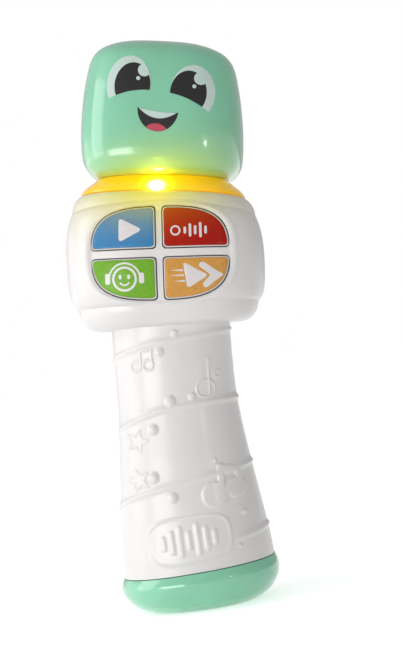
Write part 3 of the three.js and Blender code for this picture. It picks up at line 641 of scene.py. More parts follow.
def print_patch(name, loops, surface, spacing=0.8, sink=0.12):
    """A thin closed patch with this outline. `surface` maps flat points and a depth to world points."""
    loops = [np.asarray(loop, float) for loop in loops]
    border = np.vstack(loops)
    edges, start = [], 0
    for loop in loops:
        count = len(loop)
        edges += [(start + i, start + (i + 1) % count) for i in range(count)]
        start += count
    low, high = border.min(0), border.max(0)
    gx, gz = np.meshgrid(np.arange(low[0], high[0], spacing) + 0.37 * spacing,
                         np.arange(low[1], high[1], spacing) + 0.41 * spacing)
    grid = np.column_stack([gx.ravel(), gz.ravel()])
    grid = grid[inside(grid, loops)]
    if len(grid):
        near = np.min(np.hypot(*(grid[:, None] - border[None]).transpose(2, 0, 1)), 1)
        grid = grid[near > 0.45 * spacing]
    flat = np.vstack([border, grid]) if len(grid) else border
    made = delaunay_2d_cdt([Vector(p) for p in flat], edges, [], 0, 1e-5)
    points = np.array([tuple(p) for p in made[0]])
    triangles = np.array([t for t in made[2]], int)
    middles = points[triangles].mean(1)
    triangles = triangles[inside(middles, loops)]
    count = len(points)
    borders = {}
    for t in triangles:
        for a, b in ((t[0], t[1]), (t[1], t[2]), (t[2], t[0])):
            if borders.pop((b, a), None) is None:
                borders[(a, b)] = True
    faces = triangles.tolist() + (triangles[:, ::-1] + count).tolist()
    faces += [(b, a, a + count, b + count) for a, b in borders]
    world = np.vstack([surface(points, 0.0), surface(points, sink)])
    return make_object(name, world, faces)


# ---------- Materials ----------
LAMP_AT = tuple(float(v) * MM for v in on_section(-0.6, -27.5, 169.2))
# Reach of the lamp's light painted into the casings' colour, in mm along x, y and z.
PAINTED_GLOW_REACH = (29, 30, 14)


def linear(red, green, blue):
    """A colour given as screen values from 0 to 255."""
    parts = [v / 255 for v in (red, green, blue)]
    return tuple(v / 12.92 if v <= 0.04045 else ((v + 0.055) / 1.055) ** 2.4 for v in parts) + (1.0,)


class Shader:
    """A node material built around one Principled shader."""

    def __init__(self, name, roughness, metallic=0.0, coat=0.0):
        self.material = bpy.data.materials.new(name)
        self.material.use_nodes = True
        self.tree = self.material.node_tree
        self.shader = self.tree.nodes["Principled BSDF"]
        self.set(self.shader, "Roughness", roughness)
        self.set(self.shader, "Metallic", metallic)
        self.set(self.shader, "Coat Weight", coat)
        self.place = self.node("ShaderNodeTexCoord").outputs["Object"]

    def node(self, kind, **values):
        made = self.tree.nodes.new(kind)
        for key, value in values.items():
            setattr(made, key, value)
        return made

    def set(self, node, socket, value):
        node.inputs[socket].default_value = value

    def link(self, output, item, socket):
        self.tree.links.new(output, item.inputs[socket])

    def noise(self, per_mm, detail=3.0, roughness=0.5, place=None):
        """Noise with this many cells to the millimetre."""
        made = self.node("ShaderNodeTexNoise")
        self.set(made, "Scale", per_mm / MM)
        self.set(made, "Detail", detail)
        self.set(made, "Roughness", roughness)
        self.link(place or self.place, made, "Vector")
        return made.outputs["Fac"]

    def cells(self, per_mm):
        made = self.node("ShaderNodeTexVoronoi")
        self.set(made, "Scale", per_mm / MM)
        self.link(self.place, made, "Vector")
        return made.outputs["Color"]

    def ramp(self, factor, *stops):
        """A ramp from a factor, with (position, colour) stops."""
        made = self.node("ShaderNodeValToRGB")
        elements = made.color_ramp.elements
        while len(elements) < len(stops):
            elements.new(0.5)
        for element, (position, color) in zip(elements, stops):
            element.position, element.color = position, color
        self.link(factor, made, "Fac")
        return made.outputs["Color"]

    def mottled(self, factor, color, amount, edge=0.3):
        """A colour in two shades, spread by a factor."""
        dark, light = varied(color, amount)
        return self.ramp(factor, (edge, dark), (1 - edge, light))

    def math(self, operation, a, b=None):
        made = self.node("ShaderNodeMath", operation=operation)
        for k, value in enumerate(v for v in (a, b) if v is not None):
            if isinstance(value, (int, float)):
                made.inputs[k].default_value = value
            else:
                self.tree.links.new(value, made.inputs[k])
        return made.outputs[0]

    def bell(self, value):
        """1 at 0, falling off as exp(-value²)."""
        return self.math("EXPONENT", self.math("MULTIPLY", self.math("POWER", value, 2.0), -1.0))

    def spread(self, factor, low, high, socket="Roughness"):
        """Sends a 0 to 1 factor to a shader socket as a range of values."""
        made = self.node("ShaderNodeMapRange")
        self.set(made, "To Min", low)
        self.set(made, "To Max", high)
        self.link(factor, made, "Value")
        self.link(made.outputs["Result"], self.shader, socket)

    def bump(self, *layers):
        """Bump from (height output, depth in mm) layers."""
        previous = None
        for height, depth in layers:
            made = self.node("ShaderNodeBump")
            self.set(made, "Strength", 1.0)
            self.set(made, "Distance", depth * MM)
            self.link(height, made, "Height")
            if previous:
                self.link(previous, made, "Normal")
            previous = made.outputs["Normal"]
        self.link(previous, self.shader, "Normal")

    def color(self, output):
        self.link(output, self.shader, "Base Color")

    def paint_lamp_light(self, output, glow_paint, share):
        """Painted light: the colour drawn towards a glow colour round the collar's lamp, where the lamp's
        light falls.
        """
        offset = self.node("ShaderNodeMapping", vector_type="TEXTURE")
        self.set(offset, "Location", LAMP_AT)
        self.set(offset, "Scale", tuple(v * MM for v in PAINTED_GLOW_REACH))
        self.link(self.place, offset, "Vector")
        apart = self.node("ShaderNodeVectorMath", operation="LENGTH")
        self.link(offset.outputs["Vector"], apart, 0)
        mixed = self.node("ShaderNodeMix", data_type="RGBA")
        factor = self.math("MULTIPLY", self.bell(apart.outputs["Value"]), share)
        self.tree.links.new(factor, mixed.inputs["Factor"])
        self.tree.links.new(output, mixed.inputs["A"])
        mixed.inputs["B"].default_value = glow_paint
        return mixed.outputs["Result"]


def varied(color, amount):
    """A darker and a lighter shade of a colour."""
    return [tuple(min(1, c * share) for c in color[:3]) + (1.0,) for share in (1 - amount, 1 + amount)]


def plastic(name, color, rough=(0.2, 0.3), variation=0.03, peel=0.006, coat=0.0, glow_paint=None):
    """Moulded plastic: cloudy pigment, a faint orange-peel skin, and fine handling marks in its gloss; given
    a glow colour, the lamp's light is painted into its colour round the collar.
    """
    made = Shader(name, rough[0], coat=coat)
    pigment = made.mottled(made.noise(0.06, 4), color, variation, 0.35)
    made.color(made.paint_lamp_light(pigment, glow_paint, 0.9) if glow_paint else pigment)
    made.spread(made.noise(0.35, 6, 0.65), rough[0], rough[1])
    made.bump((made.noise(0.9, 2), peel), (made.noise(7, 3), peel * 0.12))
    return made.material


def metal(name, color, rough=(0.25, 0.42), grain=(1.2, 1.2, 9)):
    """Plated metal with drawn streaks."""
    made = Shader(name, rough[0], metallic=1.0)
    scaled = made.node("ShaderNodeMapping")
    made.set(scaled, "Scale", grain)
    made.link(made.place, scaled, "Vector")
    streaks = made.noise(0.8, 5, place=scaled.outputs["Vector"])
    made.color(made.mottled(streaks, color, 0.12))
    made.spread(streaks, rough[0], rough[1])
    made.bump((streaks, 0.01))
    return made.material


def sparkle_label(name, color, glow_paint=(206, 206, 40)):
    """Printed film under a soft clear coat, with fine bright flakes in the ink, and the lamp's light painted
    into its colour as a glow round the collar.
    """
    made = Shader(name, 0.32, coat=0.1)
    made.set(made.shader, "Specular IOR Level", 0.15)
    made.set(made.shader, "Coat Roughness", 0.12)
    flakes = made.cells(3.2)
    dark, light = varied(color, 0.13)
    speckled = made.ramp(flakes, (0.1, dark), (0.55, color), (0.95, light))
    cloud = made.node("ShaderNodeMix", data_type="RGBA", blend_type="MULTIPLY")
    cloud.inputs["Factor"].default_value = 0.5
    made.tree.links.new(speckled, cloud.inputs["A"])
    shade_of = made.ramp(made.noise(0.5, 4), (0.3, (0.82, 0.82, 0.82, 1)), (0.7, (1, 1, 1, 1)))
    made.tree.links.new(shade_of, cloud.inputs["B"])
    made.color(made.paint_lamp_light(cloud.outputs["Result"], linear(*glow_paint), 0.75))
    made.spread(flakes, 0.24, 0.42)
    made.bump((made.noise(2.4, 3), 0.008))
    return made.material


def ink(name, color, rough=(0.3, 0.42)):
    """Pad-printed ink with a faint screen grain."""
    made = Shader(name, rough[0])
    made.color(made.mottled(made.noise(1.6, 4), color, 0.05))
    made.spread(made.noise(2.5, 3), rough[0], rough[1])
    made.bump((made.noise(5, 2), 0.004))
    return made.material


def rubber(name, color):
    made = Shader(name, 0.55)
    made.color(made.mottled(made.noise(0.5, 5), color, 0.08))
    made.spread(made.noise(2, 4), 0.5, 0.7)
    made.bump((made.noise(4, 4), 0.02))
    return made.material


def circuit_board(name):
    """Solder mask over copper tracks, which show as a slightly raised lighter pattern."""
    made = Shader(name, 0.35, coat=0.3)
    tracks = made.node("ShaderNodeTexBrick")
    made.set(tracks, "Scale", 0.16 / MM)
    made.set(tracks, "Mortar Size", 0.06)
    made.set(tracks, "Color1", linear(24, 84, 52))
    made.set(tracks, "Color2", linear(20, 74, 46))
    made.set(tracks, "Mortar", linear(52, 128, 82))
    made.link(made.place, tracks, "Vector")
    made.color(tracks.outputs["Color"])
    made.spread(made.noise(1.2, 4), 0.28, 0.42)
    made.bump((tracks.outputs["Fac"], 0.03), (made.noise(3, 3), 0.01))
    return made.material


def paper(name):
    made = Shader(name, 0.8)
    fibres = made.noise(1.5, 8, 0.7)
    made.color(made.ramp(fibres, (0.3, linear(48, 44, 40)), (0.7, linear(74, 68, 62))))
    made.spread(fibres, 0.7, 0.9)
    made.bump((fibres, 0.08))
    return made.material


def cell_film(name):
    """A battery's printed film: a dark body with a band of copper colour towards its raised end."""
    made = Shader(name, 0.25, coat=0.4)
    split = made.node("ShaderNodeSeparateXYZ")
    made.link(made.place, split, "Vector")
    level = made.math("MULTIPLY", made.math("SUBTRACT", split.outputs["Z"], 0.038), 1 / 0.048)
    made.color(made.ramp(
        level, (0.0, linear(176, 172, 160)), (0.03, linear(40, 64, 108)), (0.66, linear(46, 74, 122)),
        (0.67, linear(196, 128, 62)), (0.95, linear(188, 120, 58)), (0.97, linear(176, 172, 160)),
    ))
    made.spread(made.noise(0.8, 4), 0.18, 0.34)
    made.bump((made.noise(2, 3), 0.01))
    return made.material


def glow(name, color, core, strength, reach_core, reach, rim):
    """Translucent plastic lit from inside, brightest at the lamp behind its front."""
    made = Shader(name, 0.16, coat=0.4)
    made.color(made.mottled(made.noise(0.08, 4), color, 0.06, 0.35))
    made.spread(made.noise(0.4, 5), 0.12, 0.22)
    made.bump((made.noise(0.8, 2), 0.006))
    apart = made.node("ShaderNodeVectorMath", operation="DISTANCE")
    made.link(made.place, apart, 0)
    apart.inputs[1].default_value = core
    distance = made.math("DIVIDE", apart.outputs["Value"], MM)
    near = made.bell(made.math("DIVIDE", distance, reach_core))
    wide = made.math("EXPONENT", made.math("MULTIPLY", made.math("DIVIDE", distance, reach), -1.0))
    total = made.math("ADD", made.math("ADD", made.math("MULTIPLY", near, strength), wide), rim)
    made.link(total, made.shader, "Emission Strength")
    colors = (0.0, linear(255, 196, 6)), (0.35, linear(255, 226, 60)), (0.8, linear(255, 250, 210))
    made.link(made.ramp(near, *colors), made.shader, "Emission Color")
    return made.material


MINT = linear(140, 215, 179)
WHITE = linear(238, 235, 234)
# The yellow of the lamp's light, painted onto the white casings near the collar.
PAINTED_GLOW_YELLOW = linear(252, 240, 24)
mint_look = {"rough": (0.16, 0.24), "coat": 0.7}
white_look = {"rough": (0.26, 0.36), "variation": 0.012, "peel": 0.008, "coat": 0.1}
mint = plastic("mint_plastic", MINT, **mint_look)
# Copies of the mint and white plastics with the lamp's light painted into their colour round the collar.
mint_painted_glow = plastic("mint_plastic_painted_glow", MINT, **mint_look, glow_paint=linear(196, 220, 0))
white = plastic("white_plastic", WHITE, **white_look)
white_painted_glow = plastic("white_plastic_painted_glow", WHITE, **white_look, glow_paint=PAINTED_GLOW_YELLOW)
# The keys' white, with the lamp's light painted into it round the collar.
key_white = plastic("key_white_plastic", linear(236, 233, 232), variation=0.012, glow_paint=linear(252, 240, 60))
black = plastic("black_plastic", linear(30, 30, 32), rough=(0.32, 0.45), variation=0.1, peel=0.015)
# Each label has the lamp's light painted into its colour round the collar.
labels = {
    "play": sparkle_label("blue_sparkle_film", linear(50, 136, 198), (216, 208, 0)),
    "record": sparkle_label("red_sparkle_film", linear(180, 8, 4), (214, 132, 18)),
    "voice": sparkle_label("green_sparkle_film", linear(122, 184, 48)),
    "forward": sparkle_label("orange_sparkle_film", linear(226, 164, 82)),
}
icon_ink = ink("icon_ink", linear(232, 227, 226))
eye_white = ink("eye_white_ink", linear(208, 228, 220))
eye_black = ink("eye_black_ink", linear(34, 32, 34))
tongue_ink = ink("tongue_ink", linear(200, 74, 92))
steel = metal("zinc_plated_steel", linear(196, 198, 204))
nickel = metal("nickel_plated_steel", linear(214, 208, 190), rough=(0.18, 0.3))
silicone = rubber("grey_silicone", linear(186, 186, 182))
board = circuit_board("green_circuit_board")
cone_paper = paper("pressed_paper")
cell = cell_film("cell_film")
sleeve = plastic("wire_sleeve_plastic", linear(150, 34, 34), rough=(0.4, 0.52), variation=0.06)


# ---------- Casings ----------
def post(name, radius, low, high, x, y, at, count=40):
    """A round bar along the frame's Z, between heights along the spine."""
    flat = circle(radius, x, y, count)
    return stack(name, [in_frame(at, flat[:, 0], flat[:, 1], s - at) for s in (low, high)])


def neck_bore(low, high):
    return post("neck_bore", NECK_BORE["radius"], low, high, 0, 0, NECK_BORE["frame_at"])


def slab(low, high):
    """All of the world between two depths."""
    return block("slab", (-WORLD, low, -WORLD), (WORLD, high, WORLD))


def front_half():
    return slab(-WORLD, PART_PLANE - GAP / 2)


def rear_half():
    return slab(PART_PLANE + GAP / 2, WORLD)


def inner_radius(radius_of, inset):
    """The skin moved in by the inset, both sideways and lengthways."""

    def radius(angle, s):
        near = [radius_of(angle, s + shift) for shift in (-inset, 0, inset)]
        return np.maximum(np.min(near, 0) - inset, 0.4)

    return radius


def core_limit(angle, s):
    """Just inside the body's skin, and round the handle's spigot below it."""
    return np.where(s < 16.3, SPIGOT.radius(angle, s), inner_radius(body_radius, CORE_INSET)(angle, s))


WORLD = 300
SPIGOT = Form([(0, 27.8), (30, 27.8)], 0.93, 0.93, 2.2)
BODY_HEIGHTS = spaced(
    (16.2, 0.42), (113.3, 0.25), (113.55, 0.05), (113.6, 0.2), (119, 0.42), (163, 0.25), (166.7, 1),
)
REAR_HEIGHTS = spaced(
    (16.2, 1.1), (36, 0.5), (50, 1.1), (113.3, 0.25), (113.55, 0.05), (113.6, 0.3), (119, 0.8), (163, 0.3),
    (166.7, 1),
)
INNER_HEIGHTS = spaced((17.5, 1.5), (112, 0.5), (118, 1.2), (162, 0.5), (165.3, 1))
CORE_HEIGHTS = spaced((7, 9.2), (16.2, 0.8), (17, 1.5), (112, 0.5), (118, 1.2), (162, 0.5), (165.9, 1))
FRONT_DENSE = section_angles(224, 70)
REAR_DENSE = section_angles(70, 170)
EVEN = section_angles(110, 80)


def screw_cuts(screws):
    """Clearance holes and sunk seats of screws in a rear casing."""
    cuts = []
    for at, x, z in screws.values():
        cuts.append(prism("clearance", circle(SCREW["clear"], x, z, 24), -FAR, SCREW["seat"] + 1, at))
        cuts.append(prism("recess", circle(SCREW["recess"], x, z, 48), SCREW["seat"], FAR, at))
    return cuts


def core_of(node, limit):
    """What the CAD node holds inside its skin: walls, bosses, ledges and rails."""
    return boolean(copy_of_node(node), ("INTERSECT", limit))


def build_body(node, half, heights, angles, openings, material, slot):
    """Half of the body: a thin skin with its openings, joined to the CAD node's walls inside it."""
    skin = sweep(f"{node}_moulding", body_radius, heights, angles)
    hollow = sweep("hollow", inner_radius(body_radius, SKIN_WALL), INNER_HEIGHTS, EVEN)
    boolean(skin, ("INTERSECT", half), *cut(hollow, neck_bore(163, 168), *openings))
    core = core_of(node, sweep("limit", core_limit, CORE_HEIGHTS, EVEN))
    boolean(skin, ("UNION", core))
    return finish_piece(skin, material, "casing", slot, node)


def key_openings():
    return [prism("opening", quadrant(key, KEY["gap"]), -FAR, -20, PANEL_AT) for key in KEYS]


def door_outline(grow):
    x, low, high = DOOR["half_width"] + grow, DOOR["low"] - grow - BAY_AT, DOOR["high"] + grow - BAY_AT
    return rectangle(-x, low, x, high, DOOR["corner"])


def rear_openings():
    """The doorway, the slider's slot, the holes for screws and the speaker's grille."""
    x, z = SLIDER_SLOT
    cuts = [
        prism("doorway", door_outline(GAP), 2, FAR, BAY_AT),
        prism("slider_slot", rectangle(-x, -z, x, z, 1.2), 14, FAR, SWITCH_AT),
        *screw_cuts(CASE_SCREWS),
    ]
    for i in range(GRILLE["slots"]):
        z = (i - (GRILLE["slots"] - 1) / 2) * GRILLE["pitch"]
        reach, half = math.sqrt(GRILLE["radius"] ** 2 - z**2), GRILLE["height"] / 2
        outline = rectangle(-reach, z - half, reach, z + half, half * 0.98)
        cuts.append(prism("slot", outline, 20, FAR, PANEL_AT))
    return cuts


def build_door():
    skin = sweep("battery_door_panel", body_radius, spaced((30, 0.45), (104, 1)), REAR_DENSE)
    hollow = sweep("hollow", HANDLE.radius, spaced((20, 1.5), (110, 1)), EVEN, DOOR["wall"])
    screw_z = DOOR["screw_at"] - BAY_AT
    clearance = prism("clearance", circle(SCREW["clear"], 0, screw_z, 24), 0, FAR, BAY_AT)
    recess = prism("recess", circle(SCREW["door_recess"], 0, screw_z, 48), SCREW["door_seat"], FAR, BAY_AT)
    outline = prism("outline", door_outline(0), 2, FAR, BAY_AT)
    boolean(skin, ("INTERSECT", outline), *cut(hollow, clearance, recess))
    return finish_piece(skin, mint, "door", "green_plastic", "battery_door")


def head_inside(inset):
    """The head's form moved in by the inset."""
    heights = spaced((173.7 + inset, 0.7), (222, 0.5), (228.8 - inset, 1))
    return sweep("inside", inner_radius(HEAD.radius, inset), heights, EVEN)


def head_lip():
    """A band inside the front half that closes the parting gap from within."""
    reach = slab(PART_PLANE - 3, PART_PLANE + GAP / 2 - 0.02)
    return boolean(head_inside(0.7), *cut(head_inside(1.4), neck_bore(172, 178)), ("INTERSECT", reach))


def build_head(name, node, half, cuts, angles, *joined):
    """Half of the head, built as the body is."""
    skin = sweep(name, HEAD.radius, meridian_heights(HEAD, 0.7), angles)
    boolean(skin, ("INTERSECT", half), *cut(head_inside(SKIN_WALL), neck_bore(172, 178), *cuts))
    for part in (core_of(node, head_inside(CORE_INSET)), *joined):
        boolean(skin, ("UNION", part))
    return finish_piece(skin, mint_painted_glow, "casing", "green_plastic", node)


def sound_hole_cuts():
    cuts = []
    for x, y in circle(SOUND_HOLES["circle"], 0, SOUND_HOLES["y"], SOUND_HOLES["count"]):
        cuts.append(post("hole", SOUND_HOLES["radius"], 220, 250, x, y, SOUND_HOLES["frame_at"], 20))
    return cuts


def build_base():
    skin = sweep("base_cap_moulding", BASE.radius, meridian_heights(BASE, 0.6), section_angles(150, 120))
    hollow = Form([(4, 28.1), (17, 28.1)], 0.93, 0.93, 2.2)
    boolean(skin, *cut(sweep("hollow", hollow.radius, spaced((4, 6), (17, 1)), EVEN)))
    return finish_piece(skin, mint, "casing", "green_plastic", "base_cap", angle=50)


def build_ring():
    skin = sweep("light_ring_lens", COLLAR.radius, meridian_heights(COLLAR, 0.4), section_angles(150, 110))
    form = Form([(166, 33.6), (168, 33), (169.6, 31.6), (171.3, 29.3)], 0.82, 0.7, 2.7)
    hollow = sweep("hollow", form.radius, meridian_heights(form, 0.6), EVEN, 2.2)
    boolean(skin, *cut(hollow, neck_bore(160, 180)))
    amber = linear(246, 190, 20)
    lens = glow("lit_amber_lens", amber, LAMP_AT, strength=24, reach_core=3.2, reach=12, rim=0.2)
    return finish_piece(skin, lens, "casing", "amber_plastic", "light_ring", angle=50)


# ---------- Screws and slider ----------
def build_screw(name, at, x, z, y, head, body):
    """A pan-head screw with a cross recess. `head` is (radius, height, shank radius, shank length)."""
    radius, height, shank, length = head
    turns = np.radians([0, 25, 45, 62, 76, 86])
    dome = [(radius * math.cos(turn), height * (0.45 + 0.55 * math.sin(turn))) for turn in turns]
    profile = [(shank * 0.3, -length), (shank, -length + 1), (shank, 0.1), (radius, 0.1), *dome]
    item = turned(name + "_head", profile, 48)
    long, narrow, low, high = radius * 0.62, 0.28, height * 0.45, height + 1
    arms = [block("arm", (-a, low, -b), (a, high, b)) for a, b in ((long, narrow), (narrow, long))]
    boolean(item, *cut(*arms))
    offset = Matrix.Translation(Vector((x, y, z)) * MM)
    item.data.transform(frame_matrix(at) @ offset @ Matrix.Rotation(math.radians(20), 4, "Y"))
    return finish_piece(item, steel, body, "steel", name, angle=30)


def build_slider():
    """The power slider's knob with three grooves across its thumb face."""
    rest = -2.3
    rings = []
    for half_x, half_z, y, corner in [
        (4.2, 4.2, 17.2, 0.6), (4.2, 4.2, 18.7, 0.6), (2.5, 3, 18.72, 0.7), (2.5, 3, 23, 0.7),
        (2.42, 2.92, 23.3, 0.66), (2.2, 2.7, 23.52, 0.55), (1.9, 2.4, 23.6, 0.4),
    ]:
        outline = rectangle(-half_x, rest - half_z, half_x, rest + half_z, corner)[::-1]
        rings.append(in_frame(SWITCH_AT, outline[:, 0], y, outline[:, 1]))
    knob = stack("power_slider_knob", rings)
    grooves = [rectangle(-3, rest + z - 0.3, 3, rest + z + 0.3) for z in (-1.3, 0, 1.3)]
    boolean(knob, *cut(*[prism("groove", outline, 23.1, FAR, SWITCH_AT) for outline in grooves]))
    return finish_piece(knob, black, "power_knob", "black_plastic", "power_slider", angle=35)


# ---------- Prints ----------
def on_label(points, depth):
    """World points just above a key's label."""
    return on_panel(points, LABEL["high"] - 0.06 + depth)


def on_face(lift):
    """World points on the head's front, for points in the tilted frame of the face."""
    tilt = math.radians(6.5)

    def surface(points, depth):
        u, v = points[:, 0], points[:, 1]
        x = 1.2 + u * math.cos(tilt) + v * math.sin(tilt)
        s = 205 - u * math.sin(tilt) + v * math.cos(tilt)
        return on_section(x, HEAD.face(x, s) - lift + depth, s)

    return surface


def above(outline, curve):
    """The outline with everything under the curve z(x) drawn up onto it."""
    return np.column_stack([outline[:, 0], np.maximum(outline[:, 1], curve(outline[:, 0]))])


def cheek(u):
    """The cheek line under an eye, rising in the middle."""
    t = (np.abs(u) - 4.1) / 15.7
    return -5.2 * t + 4.4 * t * (1 - t)


def rounded(points, radius, count=6):
    """A polygon with its corners rounded off."""
    points = np.array(points, float)
    parts = []
    for before, at, after in zip(np.roll(points, 1, 0), points, np.roll(points, -1, 0)):
        a, b = before - at, after - at
        length_a, length_b = np.hypot(*a), np.hypot(*b)
        reach = min(radius, 0.45 * length_a, 0.45 * length_b)
        parts.append(bezier(at + a / length_a * reach, at, at + b / length_b * reach, count))
    return np.vstack(parts)


def stroke(points, half):
    """The outline of a bent bar of this half width, with round ends."""
    points = np.array(points, float)
    along = np.gradient(points, axis=0)
    along /= np.hypot(*along.T)[:, None]
    side = np.column_stack([-along[:, 1], along[:, 0]]) * half
    caps = []
    for centre, direction in ((points[-1], along[-1]), (points[0], -along[0])):
        turn = np.radians(np.linspace(-75, 75, 6))[:, None]
        normal = np.array([-direction[1], direction[0]])
        caps.append(centre + half * (direction * np.cos(turn) + normal * np.sin(turn)))
    return np.vstack([points - side, caps[0], (points + side)[::-1], caps[1]])


def arc(x, z, radius, start, end, count=24):
    angle = np.radians(np.linspace(start, end, count))
    return np.stack([x + radius * np.cos(angle), z + radius * np.sin(angle)], -1)


def build_icons():
    """Symbols on the keys: play, a ring with sound bars, a listening face, and fast forward."""
    play = [rounded([(-15.6, 14.2), (-15.8, 4.4), (-6.3, 9.2)], 2)]
    ring = [circle(2.0, 6.5, 8.4, 48), circle(1.35, 6.5, 8.4, 40)]
    bars = [
        stroke([(x, 8.4 - half), (x, 8.4 + half)], 0.5)
        for x, half in [(10.2, 0.9), (12.2, 2.1), (14.2, 1.3), (16.2, 2.5), (18.2, 1.1)]
    ]
    cx, cz = -13.9, -9.8  # middle of the listening face
    voice = [
        [circle(4.9, cx, cz, 60), circle(4.0, cx, cz, 54)],
        [stroke(arc(cx, cz, 6.1, 12, 168), 0.36)],
        [rounded(rectangle(cx - 7.7, cz - 1.9, cx - 5.7, cz + 2.3), 0.8)],
        [rounded(rectangle(cx + 5.7, cz - 1.9, cx + 7.7, cz + 2.3), 0.8)],
        [ellipse(cx - 1.7, cz + 0.8, 0.62, 0.95, 30)],
        [ellipse(cx + 1.7, cz + 0.8, 0.62, 0.95, 30)],
        [stroke(arc(cx, cz - 0.3, 2.1, 215, 325), 0.3)],
    ]
    triangle = [rounded([(9.1, -3.8), (10.5, -14.3), (18.9, -9.3)], 1.7)]
    chevron = [rounded([
        (15.1, -5.6), (15.6, -4.2), (17, -4), (24.7, -9.2),
        (18.2, -14), (17, -14), (16.5, -12.3), (19.7, -9.2),
    ], 0.9)]
    lines = [
        [rounded([(low, z), (high, z + 0.42), (high, z - 0.42)], 0.15, 3)]
        for low, high, z in [(4, 9, -7.1), (3.8, 9.3, -9.1), (5.3, 9.7, -11.3)]
    ]
    shapes = {
        "play": [play],
        "record": [ring, *[[bar] for bar in bars]],
        "voice": voice,
        "forward": [triangle, chevron, *lines],
    }
    for key, parts in shapes.items():
        for i, loops in enumerate(parts):
            patch = print_patch(f"{key}_icon_{i + 1}", loops, on_label, 1.0)
            finish_piece(patch, icon_ink, f"{key}_key", LABEL_SLOTS[key])


def build_face():
    """A plain friendly face printed on the head: two eyes over raised cheeks, and an open smile."""

    def within(outline, x, z, half_width, half_height):
        """An outline drawn in to an ellipse wherever it leaves it."""
        away = np.hypot((outline[:, 0] - x) / half_width, (outline[:, 1] - z) / half_height)
        return (x, z) + (outline - (x, z)) / np.maximum(away, 1)[:, None]

    def printed(name, outline, layer, material):
        patch = print_patch(name, [outline], on_face(0.05 + 0.05 * layer), 1.0, 0.3)
        finish_piece(patch, material, "casing", "green_plastic")

    for side, name in ((-1, "left"), (1, "right")):
        white_part = above(ellipse(side * 12.7, 1.5, 8.7, 11.3, 96), cheek)
        pupil = above(ellipse(side * 11.1, 1.2, 7.1, 9.0, 96), cheek)
        printed(f"{name}_eye_white", white_part, 1, eye_white)
        printed(f"{name}_eye_pupil", pupil, 2, eye_black)
        glint = within(circle(2.6, side * 11.1 + 4, 7.7, 48), side * 12.7, 1.5, 8.6, 11.2)
        printed(f"{name}_eye_glint", glint, 3, eye_white)
        printed(f"{name}_eye_spark", circle(0.8, side * 11.1 + 2, 4.1, 24), 3, eye_white)

    def smile(u):
        """The mouth's lower edge."""
        return -7.4 - 8.4 * np.clip(1 - np.abs((u - 0.2) / 8.1) ** 2.2, 0, None) ** 0.6

    across = np.linspace(-7.9, 8.3, 40)
    top = -7.4 - 0.6 * (1 - ((across - 0.2) / 8.1) ** 2)
    mouth = np.vstack([np.column_stack([across, smile(across)]), np.column_stack([across, top])[::-1][1:-1]])
    printed("mouth", mouth, 1, eye_black)
    inner = np.linspace(-7.3, 7.7, 30)
    band_top = -7.45 - 0.6 * (1 - ((inner - 0.2) / 8.1) ** 2)
    band_low = band_top - 2.6 * (1 - ((inner - 0.2) / 7.5) ** 2) - 0.02
    teeth = np.vstack([np.column_stack([inner, band_low]), np.column_stack([inner, band_top])[::-1]])
    printed("teeth", teeth, 2, eye_white)
    tongue = above(ellipse(0.4, -16.4, 4.6, 3.7, 60), lambda u: smile(u) + 0.1)
    printed("tongue", tongue, 2, tongue_ink)


# ---------- The assembly ----------
build_body("front_shell", front_half(), BODY_HEIGHTS, FRONT_DENSE, key_openings(), white_painted_glow, "white_plastic")
build_body("rear_shell", rear_half(), REAR_HEIGHTS, REAR_DENSE, rear_openings(), mint, "green_plastic")
build_door()
build_head("head_front_moulding", "head_front_shell", front_half(), [], section_angles(170, 60), head_lip())
head_cuts = [*screw_cuts(HEAD_SCREWS), *sound_hole_cuts()]
build_head("head_rear_moulding", "head_rear_shell", rear_half(), head_cuts, section_angles(60, 150))
build_base()
build_ring()
for key, slot in LABEL_SLOTS.items():
    finish_piece(build_key(key), key_white, f"{key}_key", "white_plastic", f"{key}_button", angle=50)
    finish_piece(build_label(key), labels[key], f"{key}_key", slot, f"{key}_label", angle=50)
build_icons()
build_face()
for name, (at, x, z) in {**CASE_SCREWS, **HEAD_SCREWS}.items():
    build_screw(name, at, x, z, SCREW["seat"], (2.7, 2.1, 1, 15), "casing")
door_screw_z = DOOR["screw_at"] - BAY_AT
build_screw("door_screw", BAY_AT, 0, door_screw_z, SCREW["door_seat"] + 0.05, (2.3, 1.5, 1, 6.5), "door")
build_slider()

# CAD nodes whose shape stays as it is.
lamp = glow("lamp_lens", linear(255, 220, 90), (0, 0, 0), strength=0, reach_core=10, reach=10, rim=1.5)
KEPT = [
    (black, "neck_coupler sound_chip"),
    (board, "lamp_board main_board"),
    (silicone, "button_sheet capsule_boot"),
    (steel, "speaker_magnet speaker_basket capsule slide_switch board_screw_left board_screw_right"),
    (cone_paper, "speaker_cone"),
    (white, "battery_tray"),
    (cell, "battery_1 battery_2 battery_3"),
    (lamp, "lamp_1 lamp_2 lamp_3"),
    (sleeve, "battery_wire speaker_wire capsule_wire lamp_wire"),
    (nickel, "contact_lower_bridge contact_lower_tab contact_upper_bridge contact_upper_tab"),
    (nickel, "battery_spring_1 battery_spring_2 battery_spring_3"),
]
for material, names in KEPT:
    for name in names.split():
        nodes[name].data.materials.clear()
        nodes[name].data.materials.append(material)

# ---------- Floor, light and camera ----------
scene = bpy.context.scene
scene.view_settings.view_transform = "Standard"

